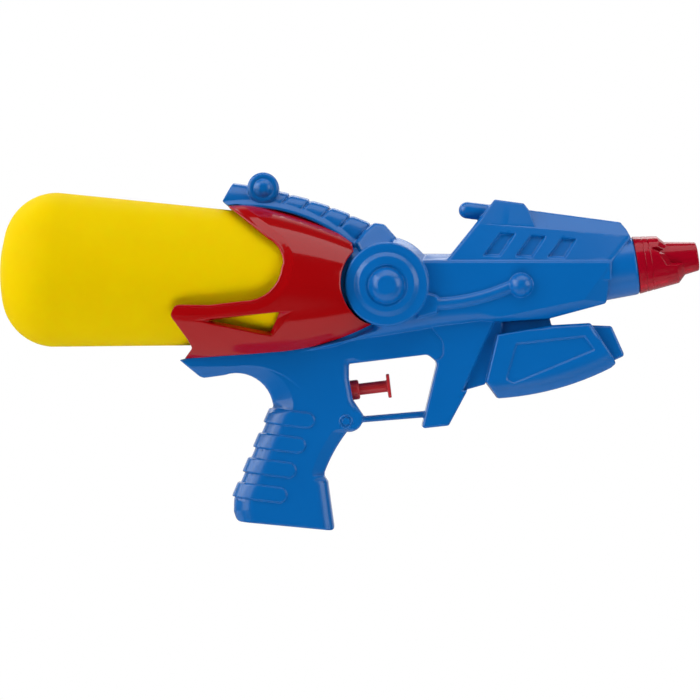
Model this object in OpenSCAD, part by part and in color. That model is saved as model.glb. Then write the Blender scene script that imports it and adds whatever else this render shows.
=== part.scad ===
// Toy water squirter: two half shells, a screw-in tank and a trigger piston pump.
// Units are millimetres. X points to the muzzle, Z up, Y to the left side.
// The origin is the middle of the grip on the seam plane between the shells.

/* [Shells] */
// Wall of the moulded half shells
wall = 2; // [1.6:0.1:2.4]
// Width of the grip and frame over both shells
frame_w = 24; // [22:0.5:28]
// Width of the barrel body over both shells
barrel_w = 32; // [29:0.5:38]
// Distance from the turret axis to the front of the barrel
barrel_len = 107; // [100:1:130]
// Diameter of the round turret on each side
turret_d = 39.4; // [37:0.2:44]
// Width over both turret faces
turret_w = 48; // [45:0.5:54]

/* [Grip] */
// Height of the grip from the origin down to its base
grip_drop = 38; // [32:1:46]
// Depth of the grip at its base, front to back
grip_depth = 45; // [40:1:50]
// Thickness of each raised finger rib above the grip side
rib_proud = 1; // [0.5:0.1:1.5]

/* [Tank] */
// Diameter of the tank near its rear end
tank_d = 73.2; // [68:0.2:78]
// Diameter of the tank at its front shoulder
tank_front_d = 60.6; // [56:0.2:64]
// Length of the tank from the shoulder to the rear end
tank_len = 140; // [120:1:170]
// Wall of the blown tank
tank_wall = 1.4; // [1:0.1:2]
// Outer diameter of the tank neck
neck_d = 26; // [22:0.5:28]
// Length of the tank neck
neck_len = 15; // [13:0.5:18]

/* [Trigger pump] */
// Stroke of the trigger
trigger_travel = 11; // [7:0.5:11.5]
// Height of the trigger plate
pad_h = 11.4; // [9:0.2:14]
// Width of the trigger plate
pad_w = 12; // [9:0.5:16]
// Diameter of the trigger stem
stem_d = 4.9; // [4:0.1:5.4]
// Bore of the pump barrel
bore_d = 10; // [9:0.1:10.4]
// Diameter of the valve balls
ball_d = 4; // [3.6:0.1:4.2]
// Lift of each valve ball off its seat
ball_lift = 1.5; // [0.8:0.1:2]

/* [Hoses] */
// Outer diameter of the hoses
hose_d = 3.6; // [3.2:0.1:3.8]
// Bore of the hoses
hose_bore = 2.2; // [1.8:0.1:2.4]

/* [Muzzle] */
// Diameter of the muzzle base
muzzle_d = 26.4; // [25:0.2:28]
// Length of the muzzle in front of the collar
muzzle_len = 30.7; // [26:0.5:36]
// Diameter of the muzzle tip
tip_d = 13; // [12:0.2:15]
// Diameter of the water orifice
orifice_d = 1; // [0.6:0.1:1.6]

/* [Screws] */
// Diameter of the shell screws
screw_d = 2.6; // [2.2:0.1:3]
// Diameter of the screw heads
head_d = 5.2; // [4.4:0.1:5.6]
// Length of the screw shank
screw_len = 12; // [9:0.5:14]

/* [Fit] */
// Radial clearance where pieces slide or turn
run = 0.06; // [0.03:0.01:0.1]
// Clearance where pieces are assembled and stay put
fit = 0.15; // [0.1:0.01:0.2]

/* [Hidden] */
$fn = 64;

// Shared angles: tank axis falls to the front, barrel and pump axes rise to the front
tank_tilt = 2.6;
barrel_tilt = 8.3;
pump_tilt = 6.8;
base_tilt = 5.5;

// Half widths of the shell's regions, measured from the seam
frame_y = frame_w / 2;
barrel_y = barrel_w / 2;
hood_y = barrel_y - 1.5;
turret_y = turret_w / 2;
pod_y = frame_y + 1.5;
spine_y = frame_y - 5;
guard_y = 3;

// Stations along the tank axis, measured forward from the turret axis
seat_s = -15;
washer_t = 1.5;
socket_wall = 2;
neck_end_s = seat_s - washer_t - run;
neck_root_s = neck_end_s - neck_len;
shoulder_h = 12;
tank_start_s = neck_root_s - shoulder_h;
tank_end_s = tank_start_s - tank_len;
tank_round = 26;
tank_r = tank_d / 2;
tank_front_r = tank_front_d / 2;
neck_r = neck_d / 2;
socket_r = neck_r + run + socket_wall;
socket_back_s = neck_root_s + 3;
socket_front_s = seat_s + 2.2;
snap_s = -24;
snap_w = 2;
snap_r = socket_r + 1.2;
cup_r = socket_r + 1.8;
cup_t = 2;

// Radius of the tank at a station on its straight, tapering part
tank_taper = (tank_r - tank_front_r) / (tank_len - tank_round);
function tank_r_at(s) = tank_front_r + (tank_start_s - s) * tank_taper;

// The turret centre stands above the tang by the tank and its air gap
turret_x = 46;
turret_r = turret_d / 2;
tang_z = 40.5;
tang_s = -96;
tank_gap = 6.7;
turret_z = tang_z + tank_gap + tank_r_at(tang_s) + tang_s * sin(tank_tilt);
function up(dx, dz) = [turret_x + dx, turret_z + dz];
function around(r, a) = up(r * cos(a), r * sin(a));
function seam_pt(p) = [p[0], 0, p[1]];

// Cheek: a thin turned skin about a level axis through the turret centre
cheek_t = 1.6;
cheek_stand = 5.5;
cheek_gap = 0.25;
cheek_edge_r = turret_r + 2.2;
cheek_rear_r = tank_r_at(-104) + cheek_stand;
cheek_mid_r = tank_r_at(-50) + cheek_stand;
peg_d = 2.6;
peg_x = turret_x - 26;
peg_rise = 16;
peg_len = 7;
post_r = peg_d / 2 + 1.8;

// Barrel front, where the collar holds the muzzle
collar_x = turret_x + barrel_len + 11.1;
collar_z = turret_z + 9.3;
collar_r = muzzle_d / 2 + 0.1;
collar_len = 16;
lip_len = 1.8;
muzzle_plug = 6;
tip_recess = 4.5;
spigot_r = collar_r - wall - fit;
groove_r = spigot_r - 1.8;

// Pump stations along the trigger axis, measured forward from the grip's front wall
pump_x = 28.5;
pump_z = 25.9;
stem_r = stem_d / 2;
bore_r = bore_d / 2;
pump_r = bore_r + 1;
gland_r = stem_r + 1.85;
gland_front_s = 4.5;
flange_s = -2.6;
barrel_front_s = -4.4;
spigot_len = 2.6;
piston_front_s = barrel_front_s - spigot_len - 0.4;
piston_len = 4;
piston_back_s = piston_front_s - piston_len;
tail_r = stem_r - 0.9;
ring_w = 1.4;
spring_solid = 4;
barrel_back_s = piston_back_s - trigger_travel - spring_solid;
pad_t = 1.5;
pad_back_s = gland_front_s + trigger_travel + 2.4;
wire_d = 0.7;
coils = 7;

// Valve tower behind the pump barrel, square to the pump axis
ball_r = ball_d / 2;
tower_bore = ball_r + 0.3;
tower_r = tower_bore + 1.3;
tower_s = barrel_back_s - tower_r - 0.2;
port_r = 1.4;
seat_r = 1.3;
chamber_h = ball_d + ball_lift + 0.6;
land_h = 1.6;
plug_h = 4;
elbow_len = 5;
elbow_rise = 1.4;
barb_len = 5;
hose_sides = 10;
barb_r = hose_bore / 2 * cos(180 / hose_sides) - run;
bore_way_r = 0.7;
inlet_seat_h = -(port_r + 0.5 + ball_lift + ball_d);
outlet_seat_h = port_r + 0.5;
inlet_h = inlet_seat_h - land_h - plug_h;
outlet_h = outlet_seat_h + land_h + chamber_h + plug_h;
elbow_end_s = tower_s + tower_r + elbow_len;

// Screws sit in wells on the left side; every boss holds the same screw
screw_r = screw_d / 2;
head_r = head_d / 2;
head_h = 1.8;
head_seat_y = 4.5;
boss_r = screw_r + 2;
well_r = head_r + 0.3;
well_wall = 1.3;

// Helpers for outlines in the X-Z plane

function unit(v) = v / norm(v);
function left_of(v) = [-v[1], v[0]];

// Points on the circular arc that runs from a through b to c
function arc3(a, b, c, n = 8) =
    let (d = 2 * (a[0] * (b[1] - c[1]) + b[0] * (c[1] - a[1]) + c[0] * (a[1] - b[1])))
    let (ox = ((a * a) * (b[1] - c[1]) + (b * b) * (c[1] - a[1]) + (c * c) * (a[1] - b[1])) / d)
    let (oz = ((a * a) * (c[0] - b[0]) + (b * b) * (a[0] - c[0]) + (c * c) * (b[0] - a[0])) / d)
    let (o = [ox, oz], r = norm(a - o), from = atan2(a[1] - oz, a[0] - ox))
    let (full = (atan2(c[1] - oz, c[0] - ox) - from + 720) % 360)
    let (part = (atan2(b[1] - oz, b[0] - ox) - from + 720) % 360)
    let (sweep = part < full ? full : full - 360)
    [for (i = [0:n]) o + r * [cos(from + sweep * i / n), sin(from + sweep * i / n)]];

// Counter-clockwise outline moved inwards by d, a number or one value per corner
function inset(pts, d) =
    let (k = len(pts))
    [for (i = [0:k - 1])
        let (n1 = left_of(unit(pts[i] - pts[(i + k - 1) % k])))
        let (n2 = left_of(unit(pts[(i + 1) % k] - pts[i])))
        pts[i] + (is_list(d) ? d[i] : d) * (n1 + n2) / (1 + n1 * n2)];

// The same value n times, for the per-corner lists
function same(v, n) = [for (i = [1:n]) v];

// Solid from the seam outwards to the right, through layers of [depth, convex outline]
module loft(layers) {
    k = len(layers[0][1]);
    m = len(layers);
    points = [for (l = layers) for (p = l[1]) [p[0], -l[0], p[1]]];
    near = [[for (i = [0:k - 1]) i]];
    far = [[for (i = [k - 1:-1:0]) (m - 1) * k + i]];
    polyhedron(points = points, faces = concat(near, far, bands(m, k)), convexity = 4);
}

// Triangles between m stacked rings of k points each, numbered from o
function bands(m, k, o = 0) = [for (j = [0:m - 2]) for (i = [0:k - 1])
    let (a = o + j * k + i, b = o + j * k + (i + 1) % k)
    each [[a, a + k, b + k], [a, b + k, b]]];

// Straight plate from the seam, or from depth y0, out to depth y1 on the right
module plate(pts, y1, y0 = 0) {
    translate([0, -y0, 0])
        rotate([90, 0, 0])
            linear_extrude(y1 - y0)
                polygon(pts);
}

// Pin along Y at an X-Z point, from depth y0 to depth y1 on the right
module pin(p, r, y0, y1) {
    translate([p[0], -y0, p[1]])
        rotate([90, 0, 0])
            cylinder(r = r, h = y1 - y0);
}

// Body turned about the X axis from [radius, station] points
module turned(profile) {
    rotate([0, 90, 0])
        rotate_extrude()
            polygon(profile);
}

module at_pump() {
    translate([pump_x, 0, pump_z])
        rotate([0, -pump_tilt, 0])
            children();
}

module at_tower() {
    at_pump()
        translate([tower_s, 0, 0])
            children();
}

module at_tank() {
    translate([turret_x, 0, turret_z])
        rotate([0, tank_tilt, 0])
            children();
}

module at_muzzle() {
    translate([collar_x, 0, collar_z])
        rotate([0, -barrel_tilt, 0])
            children();
}

// Points of the tilted frames, given in the shared frame
function pump_pt(s, y, h) = [pump_x + s * cos(pump_tilt) - h * sin(pump_tilt), y,
    pump_z + s * sin(pump_tilt) + h * cos(pump_tilt)];
function tank_pt(s, h) = [turret_x + s * cos(tank_tilt) + h * sin(tank_tilt), 0,
    turret_z - s * sin(tank_tilt) + h * cos(tank_tilt)];
function muzzle_pt(s) = [collar_x + s * cos(barrel_tilt), 0, collar_z + s * sin(barrel_tilt)];

// Smooth curve through control points, each span cut into n steps
function bend(p, n = 5) =
    let (k = len(p))
    concat([for (i = [0:k - 2]) for (j = [0:n - 1])
        let (a = p[max(i - 1, 0)], b = p[i], c = p[i + 1], d = p[min(i + 2, k - 1)], t = j / n)
        0.5 * (2 * b + (c - a) * t + (2 * a - 5 * b + 4 * c - d) * t * t
            + (3 * b - 3 * c + d - a) * t * t * t)], [p[k - 1]]);

// Tangents of a route, and a normal carried along it without twist
function tangents(p) = [for (i = [0:len(p) - 1])
    unit(p[min(i + 1, len(p) - 1)] - p[max(i - 1, 0)])];
function square_to(v, t) = unit(v - (v * t) * t);
function carried(t, v, i = 0) = i == len(t) ? [] :
    let (w = square_to(v, t[i]))
    concat([w], carried(t, w, i + 1));
function route_len(p) = let (d = [for (i = [1:len(p) - 1]) norm(p[i] - p[i - 1])])
    d * same(1, len(d));

// Rings of a tube's section along a route, for each radius in turn
function rings(route, radii, sides) =
    let (t = tangents(route), v = carried(t, [0.3, 1, 0.1]))
    [for (r = radii) for (i = [0:len(route) - 1]) for (a = [0:sides - 1])
        route[i] + r * (cos(a * 360 / sides) * v[i] + sin(a * 360 / sides) * cross(t[i], v[i]))];

// Faces turned inside out, for the wall of a bore
function flipped(faces) = [for (f = faces) [f[0], f[2], f[1]]];

// Tube along a route: outer radius, bore radius, and sides of its section
module tube(route, r_out, r_in, sides = hose_sides) {
    n = len(route);
    o = n * sides;
    e = (n - 1) * sides;
    ends = [for (a = [0:sides - 1])
        let (b = (a + 1) % sides)
        each [[a, b, o + b], [a, o + b, o + a], [e + a, o + e + a, o + e + b], [e + a, o + e + b, e + b]]];
    polyhedron(points = rings(route, [r_out, r_in], sides), convexity = 6,
        faces = concat(bands(n, sides), flipped(bands(n, sides, o)), ends));
}

// Round wire along a route, closed at both ends
module wire(route, r, sides = 6) {
    n = len(route);
    first = [[for (a = [0:sides - 1]) a]];
    last = [[for (a = [sides - 1:-1:0]) (n - 1) * sides + a]];
    polyhedron(points = rings(route, [r], sides), convexity = 6,
        faces = concat(bands(n, sides), first, last));
}

// Outlines shared by the shells and the pieces that meet them

// Edge between cheek and frame, and between cheek and spine
belly_rear = [turret_x - 98, tang_z - 0.2];
belly_mid = up(-46, -cheek_mid_r + 4.5);
belly_front = around(cheek_edge_r - 0.4, 246);
belly = arc3(belly_rear, belly_mid, belly_front);
crest_rear = up(-74.5, cheek_rear_r - 1.3);
crest_mid = up(-40, cheek_mid_r - 2.2);
crest_front = around(turret_r + 6.1, 130);
crest = arc3(crest_rear, crest_mid, crest_front);

// Grip base corners follow the drop and the depth of the grip
heel = [21.5 - grip_depth - 2.5, -grip_drop + 2.2];
toe = [21.5, heel[1] - (grip_depth + 2.5) * tan(base_tilt)];
leg_top = up(51, -16.5);
lug = [26.3, 11.2];

// Frame: tang, grip, trigger guard corner and leg, counter-clockwise
grip_back = arc3([-31, 33.2], [-12.6, 28.8], [-7.7, 17.5], 6);
grip_front = arc3([16.4, -13.5], [20.6, -3.5], [28.2, 6.6], 4);
lug_edge = arc3(lug + [3.6, -4.8], lug + [6.4, -2.4], lug + [8, 1.4], 3);
guard_edge = [[34.8, 14.6], [29.9, 21.5], [28.1, 31.7], [28.1, 38.4]];
guard_corner = arc3([62, 42.5], [67.5, 41.3], [69.4, 37.5], 3);
frame_pts = concat([[-41, 32.1]], grip_back, [heel + [-2.6, 10.5], heel], [toe],
    grip_front, lug_edge, guard_edge, guard_corner,
    [[64.3, 16.6], [62.7, 8.8], [75, 9.6], [84.8, 27.5], leg_top, up(50, -6), up(20, 0), up(0, -6)],
    [for (i = [len(belly) - 1:-1:0]) belly[i]]);
frame_round = concat([1.4, 1.4, 1.6, 2, 2.6, 3.4, 4, 4.5], [4.5, 3], [2.5],
    [2.8, 2.8, 2.8, 2, 1.2], same(0.8, len(lug_edge)), same(0.8, len(guard_edge)),
    same(0.8, len(guard_corner)), same(0.8, 5), same(0, 3), same(0.6, len(belly)));

// Barrel: the long rising body, with a facet under its sides that slants in to the keel
barrel_pts = [up(-10, -26.6), up(54, -19), up(76.6, -16.1), up(barrel_len - 2, -8.8), up(barrel_len, 10.7),
    up(barrel_len - 2, 14.6), up(16, 14.6), up(0, 13), belly_front];
barrel_round = [3, 2.8, 3, 1.2, 1.5, 1, 0.8, 0.8, 0.5];

// Hood on top of the barrel: crown outline and the lower edge of its slanting upper facet
hood_pts = [up(26.7, 10.4), up(barrel_len, 10.4), up(barrel_len + 9.4, 21.8), up(barrel_len + 6.6, 26.3),
    up(barrel_len + 3.8, 29.6), up(68.3, 35.2), up(47.5, 35.6)];
hood_face = [up(28.6, 10.4), up(barrel_len - 1, 10.4), up(barrel_len + 6.6, 20), up(barrel_len + 5.4, 22.2),
    up(barrel_len + 3.6, 23.4), up(70.5, 27), up(43.2, 28.3)];
slot_pitch = 14.8;
slot_pts = [up(45.8, 13.4), up(54.2, 13), up(61.8, 24.4), up(54, 24.9)];

// Sight block on the hood and the stub that points back from it
sight_pts = [up(43, 29), up(70.4, 27.4), up(68.3, 35.2), up(64.9, 38.3), up(50.9, 40.1), up(49.2, 37.8)];
sight_face = [up(44.6, 28.4), up(69.6, 27), up(68.8, 28.6), up(66, 29.6), up(50, 30.4), up(46, 29.8)];
sight_stub_r = 3.75;

// Pod under the barrel: main body, nose, and the webs that carry it
pod_floor = arc3([98.5, 22.2], [127, 27], [152.4, 37], 6);
pod_pts = concat([[92.7, 30.3]], pod_floor, [[154, 39.4], [142, 57.6], [124, 56.6], [98, 52.4]]);
pod_round = concat([1.4], same(1.2, len(pod_floor)), [1.2, 2, 2, 1.8]);
pod_panel = [[101.7, 31], [105.6, 28.9], [144.3, 45], [139.3, 52], [106.6, 48.3]];
nose_pts = [[138, 44], [152.5, 39.5], [157.9, 42.3], [158, 43.4], [152.2, 56.4], [138, 56.8]];
strip_pts = [[83, 26], [92.3, 29], [100.5, 56], up(54.5, -12), up(49, -12)];
web_pts = [[98, 50], [124.4, 55], up(76.4, -13), up(54, -13)];

// Spine over the tank: flange, core and five ribs
crown_rear = crest_rear + [8.3, 10.6];
crown = arc3(crown_rear, crest_mid + [4, 7.8], up(-7.6, 28.8), 8);
spine_pts = concat(crest, [up(2, 17), up(4.4, 22), up(-0.9, 27.7), up(-3.9, 28.8)],
    [for (i = [len(crown) - 1:-1:0]) crown[i] - [0.3, 0.9]],
    [crest_rear + [1.6, 10.8], crest_rear + [-3.6, 1.8]]);
knob_c = crest_rear + [15.9, 8.1];
knob_r = 7.4;
flange_h = 2.6;
ribs = 5;

// Where the shells are screwed together: X-Z point, and depth of the side wall it stands on
bosses = [[heel + [15, 6], frame_y], [lug - [2.6, 0.4], frame_y], [[71.5, 15.5], frame_y],
    [[-16, 37], frame_y], [[120, 40], pod_y], [up(72, -8.6), barrel_y], [up(17, 7.6), barrel_y],
    [up(70, 21), hood_y]];

// Outer skin of one shell, drawn on the right side
module skin() {
    plate(frame_pts, frame_y - 5);
    plate(inset(frame_pts, frame_round * 0.4), frame_y - 2);
    plate(inset(frame_pts, frame_round), frame_y);
    loft([[0, barrel_pts], [barrel_y - 5, barrel_pts], [barrel_y, inset(barrel_pts, barrel_round)]]);
    loft([[0, hood_pts], [hood_y - 8, hood_pts], [hood_y, hood_face]]);
    loft([[0, sight_pts], [6, sight_pts], [hood_y - 2, sight_face]]);
    loft([[0, pod_pts], [pod_y - 4, pod_pts], [pod_y, inset(pod_pts, pod_round)]]);
    loft([[0, nose_pts], [6, nose_pts], [8, inset(nose_pts, 1)]]);
    plate(strip_pts, frame_y - 4);
    plate(web_pts, frame_y - 6);
    plate([[33, 10.7], [64, 13.3], [65, 16.7], [33, 14.2]], guard_y);
    turret();
    spine();
    sight_stub();
    swept_rod();
    grip_ribs();
    pin(lug, 2.7, 0, frame_y + 0.4);
    half() at_muzzle()
        turned([[0, -collar_len], [collar_r + 1.2, -collar_len], [collar_r, 0], [0, 0]]);
}

// Keeps the right half of a body that crosses the seam
module half() {
    intersection() {
        children();
        translate([-200, -60, -100])
            cube([500, 60, 300]);
    }
}

// Turret: stepped disc with a domed cap, on a shoulder that rises behind its front edge
shoulder_r = turret_r + 3.1;
shoulder_y = hood_y - 0.5;
module turret() {
    shoulder = arc3(around(shoulder_r, 0), around(shoulder_r, 45), around(shoulder_r, 90), 10);
    plate(concat([up(0, 0)], shoulder), shoulder_y);
    step_y = turret_y - 1.6;
    dome = arc3([8.9, turret_y - 1], [7.4, turret_y + 2.4], [4.5, turret_y + 3.4], 4);
    profile = concat([[0, 0], [turret_r, 0], [turret_r, step_y - 0.8], [turret_r - 0.8, step_y],
        [turret_r - 4.6, step_y], [turret_r - 6.8, turret_y], [9.6, turret_y], [9.2, turret_y - 1]],
        dome, [[0, turret_y + 3.4]]);
    translate([turret_x, 0, turret_z])
        rotate([90, 0, 0])
            rotate_extrude()
                polygon(profile);
}

// Spine: core, flange along the cheek, ribs, knob and the front clamp
module spine() {
    plate(spine_pts, spine_y);
    rim = concat(crest, [for (i = [len(crest) - 1:-1:0]) crest[i] + [0.6, flange_h]]);
    plate(rim, spine_y + 1.4);
    for (i = [0:ribs - 1]) {
        f0 = 0.3 + i * 0.14;
        f1 = f0 + 0.125;
        rib = concat([along(crest, f0) + [1, flange_h]], [along(crest, f1) + [1, flange_h]],
            [along(crown, f1), along(crown, f0)]);
        plate(rib, spine_y + 1);
    }
    plate([up(-13, 17), up(0, 15), up(4, 22.4), up(-0.9, 27.9), up(-4, 29), up(-8, 29)], spine_y + 3);
    pin(knob_c, knob_r, 0, spine_y + 1.6);
    pin(knob_c, 4.6, 0, spine_y + 2.8);
}

// Point at a share f of the way along a list of points
function along(p, f) =
    let (q = f * (len(p) - 1), i = min(floor(q), len(p) - 2))
    p[i] + (q - i) * (p[i + 1] - p[i]);

// Stub behind the sight block
module sight_stub() {
    half() translate([turret_x + 37.8, 0, turret_z + 35.6])
        rotate([0, 8, 0]) {
            sphere(r = sight_stub_r);
            rotate([0, 90, 0])
                cylinder(r = sight_stub_r, h = 18);
        }
}

// Curved rod on the barrel side, from a block to a ball
rod_r = 1.7;
rod_bend = 93;
rod_arc = 24.5;
rod_ball_r = 5.5;
rod_ball_step = [4.9, 1.1];
module swept_rod() {
    rod_end = up(24, -9.7);
    rod_c = rod_end + [-4, rod_bend];
    ball_a = rod_arc - 90;
    translate([rod_c[0], -barrel_y - 0.2, rod_c[1]])
        rotate([90, 0, 0])
            rotate([0, 0, -90])
                rotate_extrude(angle = rod_arc, $fn = 96)
                    translate([rod_bend, 0])
                        circle(r = rod_r, $fn = 24);
    ball = rod_c + rod_bend * [cos(ball_a), sin(ball_a)] + rod_ball_step;
    translate([ball[0], -barrel_y + 1, ball[1]])
        sphere(r = rod_ball_r);
    plate([up(16, -14), up(24.5, -13), up(24, -4), up(16, -3)], barrel_y + 1.4, barrel_y - 4);
}

// Four finger ribs across the back of the grip
module grip_ribs() {
    rib_h = 7;
    for (i = [0:3]) {
        tail = [-11.6, 15.6] + i * ([heel[0] + 1, heel[1] + 16] - [-11.6, 15.6]) / 3;
        head = tail + [19.6 + 0.5 * i, -2.4];
        rib = concat([tail + [0, -rib_h / 2]], arc3(head + [0, -rib_h / 2], head + [rib_h / 2, 0],
            head + [0, rib_h / 2], 6), [tail + [0.8, rib_h / 2]]);
        plate(rib, frame_y + rib_proud, 0);
    }
}

// Hollow of one shell
module hollow() {
    plate(inset(frame_pts, wall), frame_y - 5.5, -1);
    plate(inset(frame_pts, [for (r = frame_round) wall + r * 0.5]), frame_y - 3, -1);
    plate(inset(frame_pts, [for (r = frame_round) wall + r * 0.9]), frame_y - wall, -1);
    in_barrel = inset(barrel_pts, wall);
    loft([[-1, in_barrel], [barrel_y - 6, in_barrel],
        [barrel_y - wall, inset(barrel_pts, [for (r = barrel_round) wall + 0.4 + r * 0.9])]]);
    loft([[-1, inset(hood_pts, wall)], [hood_y - 8.6, inset(hood_pts, wall)],
        [hood_y - wall - 0.4, inset(hood_face, wall)]]);
    loft([[-1, inset(pod_pts, wall)], [pod_y - wall - 0.6, inset(pod_pts, wall + 0.4)]]);
    translate([turret_x, 1, turret_z])
        rotate([90, 0, 0])
            cylinder(r = turret_r - wall, h = turret_y - 1.4 - wall);
    plate(inset(spine_pts, wall), spine_y - wall, -1);
}

// Inner walls of one shell: socket cup, pump saddles and cheek posts
module inner_walls() {
    half() at_tank()
        turned([[0, socket_back_s], [cup_r + cup_t, socket_back_s], [cup_r + cup_t, seat_s + 4.4],
            [0, seat_s + 4.4]]);
    for (s = [barrel_front_s - 5, barrel_back_s + 6])
        half() at_pump()
            translate([s - 1, -frame_y + 0.6, -pump_r - 3])
                cube([2, 30, 2 * pump_r + 6]);
    for (side = [-1, 1])
        pin([peg_x, turret_z + side * peg_rise], post_r, 4, post_end);
}

// Skin radius of the cheek at a point along X, from its turned profile
cheek_curve = arc3([turret_x - 104, cheek_rear_r], [turret_x - 50, cheek_mid_r],
    [turret_x - 8, cheek_edge_r], 10);
function lookup_r(x, i = 0) = i > 8 || cheek_curve[i + 1][0] > x ?
    cheek_curve[i][1] + (x - cheek_curve[i][0]) * (cheek_curve[i + 1][1] - cheek_curve[i][1])
        / (cheek_curve[i + 1][0] - cheek_curve[i][0]) : lookup_r(x, i + 1);
peg_skin_r = lookup_r(peg_x) - cheek_t;
peg_skin_y = sqrt(peg_skin_r * peg_skin_r - peg_rise * peg_rise);
rim_skin_r = lookup_r(peg_x + post_r) - cheek_t;
rim_rise = peg_rise + post_r;
post_end = sqrt(rim_skin_r * rim_skin_r - rim_rise * rim_rise) - 0.3;

// Openings through both shells for the pieces they clamp
module seats() {
    at_tank() {
        turned([[0, socket_back_s - 1], [socket_r + fit, socket_back_s - 1],
            [socket_r + fit, socket_front_s + fit], [6, socket_front_s + fit], [6, seat_s + 8],
            [0, seat_s + 8]]);
        turned([[0, snap_s - fit], [snap_r + fit, snap_s - fit], [snap_r + fit, snap_s + snap_w + fit],
            [0, snap_s + snap_w + fit]]);
    }
    at_pump() {
        turned([[0, barrel_back_s], [pump_r + fit, barrel_back_s], [pump_r + fit, flange_s + fit],
            [gland_r + fit, flange_s + fit], [gland_r + fit, 4], [0, 4]]);
    }
    at_muzzle() {
        turned([[0, -40], [collar_r - wall, -40], [collar_r - wall, -lip_len - fit],
            [groove_r + fit, -lip_len - fit], [groove_r + fit, 1], [0, 1]]);
    }
    for (side = [-1, 1])
        pin([peg_x, turret_z + side * peg_rise], peg_d / 2 + run, post_end - peg_len - 1, post_end + 1);
}

// Shallow marks on the outside: hood slots, pod panel, step behind the collar
module marks() {
    for (i = [0:2])
        plate([for (p = slot_pts) p + [i * slot_pitch, -0.5 * i]], hood_y + 3, hood_y - 1);
    plate(pod_panel, pod_y + 2, pod_y - 0.8);
}

// Half shell with its walls, before the bosses
module half_shell() {
    difference() {
        union() {
            difference() {
                skin();
                hollow();
            }
            inner_walls();
        }
        seats();
        marks();
    }
}

module right_shell() {
    color("#1f6fc0")
        difference() {
            union() {
                half_shell();
                for (b = bosses)
                    pin(b[0], boss_r, 0, b[1] - wall / 2);
            }
            for (b = bosses)
                pin(b[0], screw_r + run, -1, screw_len - head_seat_y + 1);
        }
}

module left_shell() {
    color("#1f6fc0")
        mirror([0, 1, 0])
            difference() {
                union() {
                    half_shell();
                    for (b = bosses)
                        pin(b[0], well_r + well_wall, 0, b[1] - wall / 2);
                }
                for (b = bosses) {
                    pin(b[0], screw_r + fit, -1, head_seat_y + 1);
                    pin(b[0], well_r, head_seat_y, turret_y);
                }
            }
}

// Screws that hold the shells, driven from the left
module shell_screws() {
    color("#8f9499")
        for (b = bosses) {
            pin(b[0], screw_r, -head_seat_y, screw_len - head_seat_y);
            pin(b[0], head_r, -head_seat_y - head_h, -head_seat_y);
        }
}

// Cheek outline, counter-clockwise from its lower rear tip
cheek_low = [for (p = belly) p + [0, cheek_gap]];
cheek_high = [for (p = crest) p - [0, cheek_gap]];
cheek_pts = concat(cheek_low,
    arc3(around(cheek_edge_r, 236), around(cheek_edge_r, 180), around(cheek_edge_r, 136), 8),
    [for (i = [len(crest) - 1:-1:0]) cheek_high[i]],
    arc3(up(-65, 28.8), up(-56.3, 21.4), up(-49.3, 8.7), 4),
    arc3(up(-49.6, 7), up(-54.4, -2.8), up(-67.1, -8.3), 5),
    [up(-83, -10.1), up(-100, -9.8), up(-102.6, -14.1), up(-94.7, -26.3), up(-92.5, -32.1)]);
window_pts = [up(-84.5, -17.3), up(-54.6, -22.6), up(-50.6, -13.6)];

// Red cheek: thin turned skin with a three-cornered window and two pegs
module cheek() {
    difference() {
        intersection() {
            translate([0, 0, turret_z])
                turned(concat([for (p = cheek_curve) [p[1], p[0]]],
                    [for (i = [len(cheek_curve) - 1:-1:0])
                        [cheek_curve[i][1] - cheek_t, cheek_curve[i][0]]]));
            plate(cheek_pts, cheek_rear_r + 1, spine_y - 2);
        }
        plate(window_pts, cheek_rear_r + 1, 0);
    }
    for (side = [-1, 1])
        pin([peg_x, turret_z + side * peg_rise], peg_d / 2, post_end - peg_len, peg_skin_y + 0.8);
}

module right_cheek() {
    color("#b51218")
        cheek();
}

module left_cheek() {
    color("#b51218")
        mirror([0, 1, 0])
            cheek();
}

// Outer and inner profile of the tank: neck, shoulder, taper, rounded rear end
function tank_profile(off) =
    let (end_r = tank_r_at(tank_end_s + tank_round))
    concat([[0, neck_end_s]], [[neck_r - off, neck_end_s]], [[neck_r - off, neck_root_s]],
        arc3([neck_r - off + 1, neck_root_s - off * 0.4], [tank_front_r - 6 - off, tank_start_s + 7 - off],
            [tank_front_r - off, tank_start_s - off], 5),
        arc3([end_r - off, tank_end_s + tank_round],
            [end_r - 6.4 - off * 0.7, tank_end_s + 9.6 + off * 0.7],
            [end_r - 22, tank_end_s + 1.6 + off], 6),
        [[0, tank_end_s + off]]);

// Blown tank with its threaded neck, turning in the socket
module water_tank() {
    color("#e8c400")
        at_tank()
            difference() {
                turned(tank_profile(0));
                turned(tank_profile(tank_wall));
                turned([[0, neck_end_s - 1], [neck_r - tank_wall, neck_end_s - 1],
                    [neck_r - tank_wall, neck_end_s + 1], [0, neck_end_s + 1]]);
            }
}

// Cup that takes the tank neck, with a hose nipple on each side of its floor
module tank_socket() {
    hub_r = 3;
    front = socket_front_s + 1;
    color("#e9e9e4")
        at_tank()
            turned([[bore_way_r, seat_s - barb_len - 1], [barb_r, seat_s - barb_len - 1],
                [barb_r, seat_s - 1.5], [hub_r, seat_s - 1.5], [hub_r, seat_s], [neck_r + run, seat_s],
                [neck_r + run, socket_back_s], [socket_r, socket_back_s], [socket_r, snap_s],
                [snap_r, snap_s], [snap_r, snap_s + snap_w], [socket_r, snap_s + snap_w],
                [socket_r, socket_front_s], [hub_r, socket_front_s], [hub_r, front], [barb_r, front],
                [barb_r, front + barb_len], [bore_way_r, front + barb_len]]);
}

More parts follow.
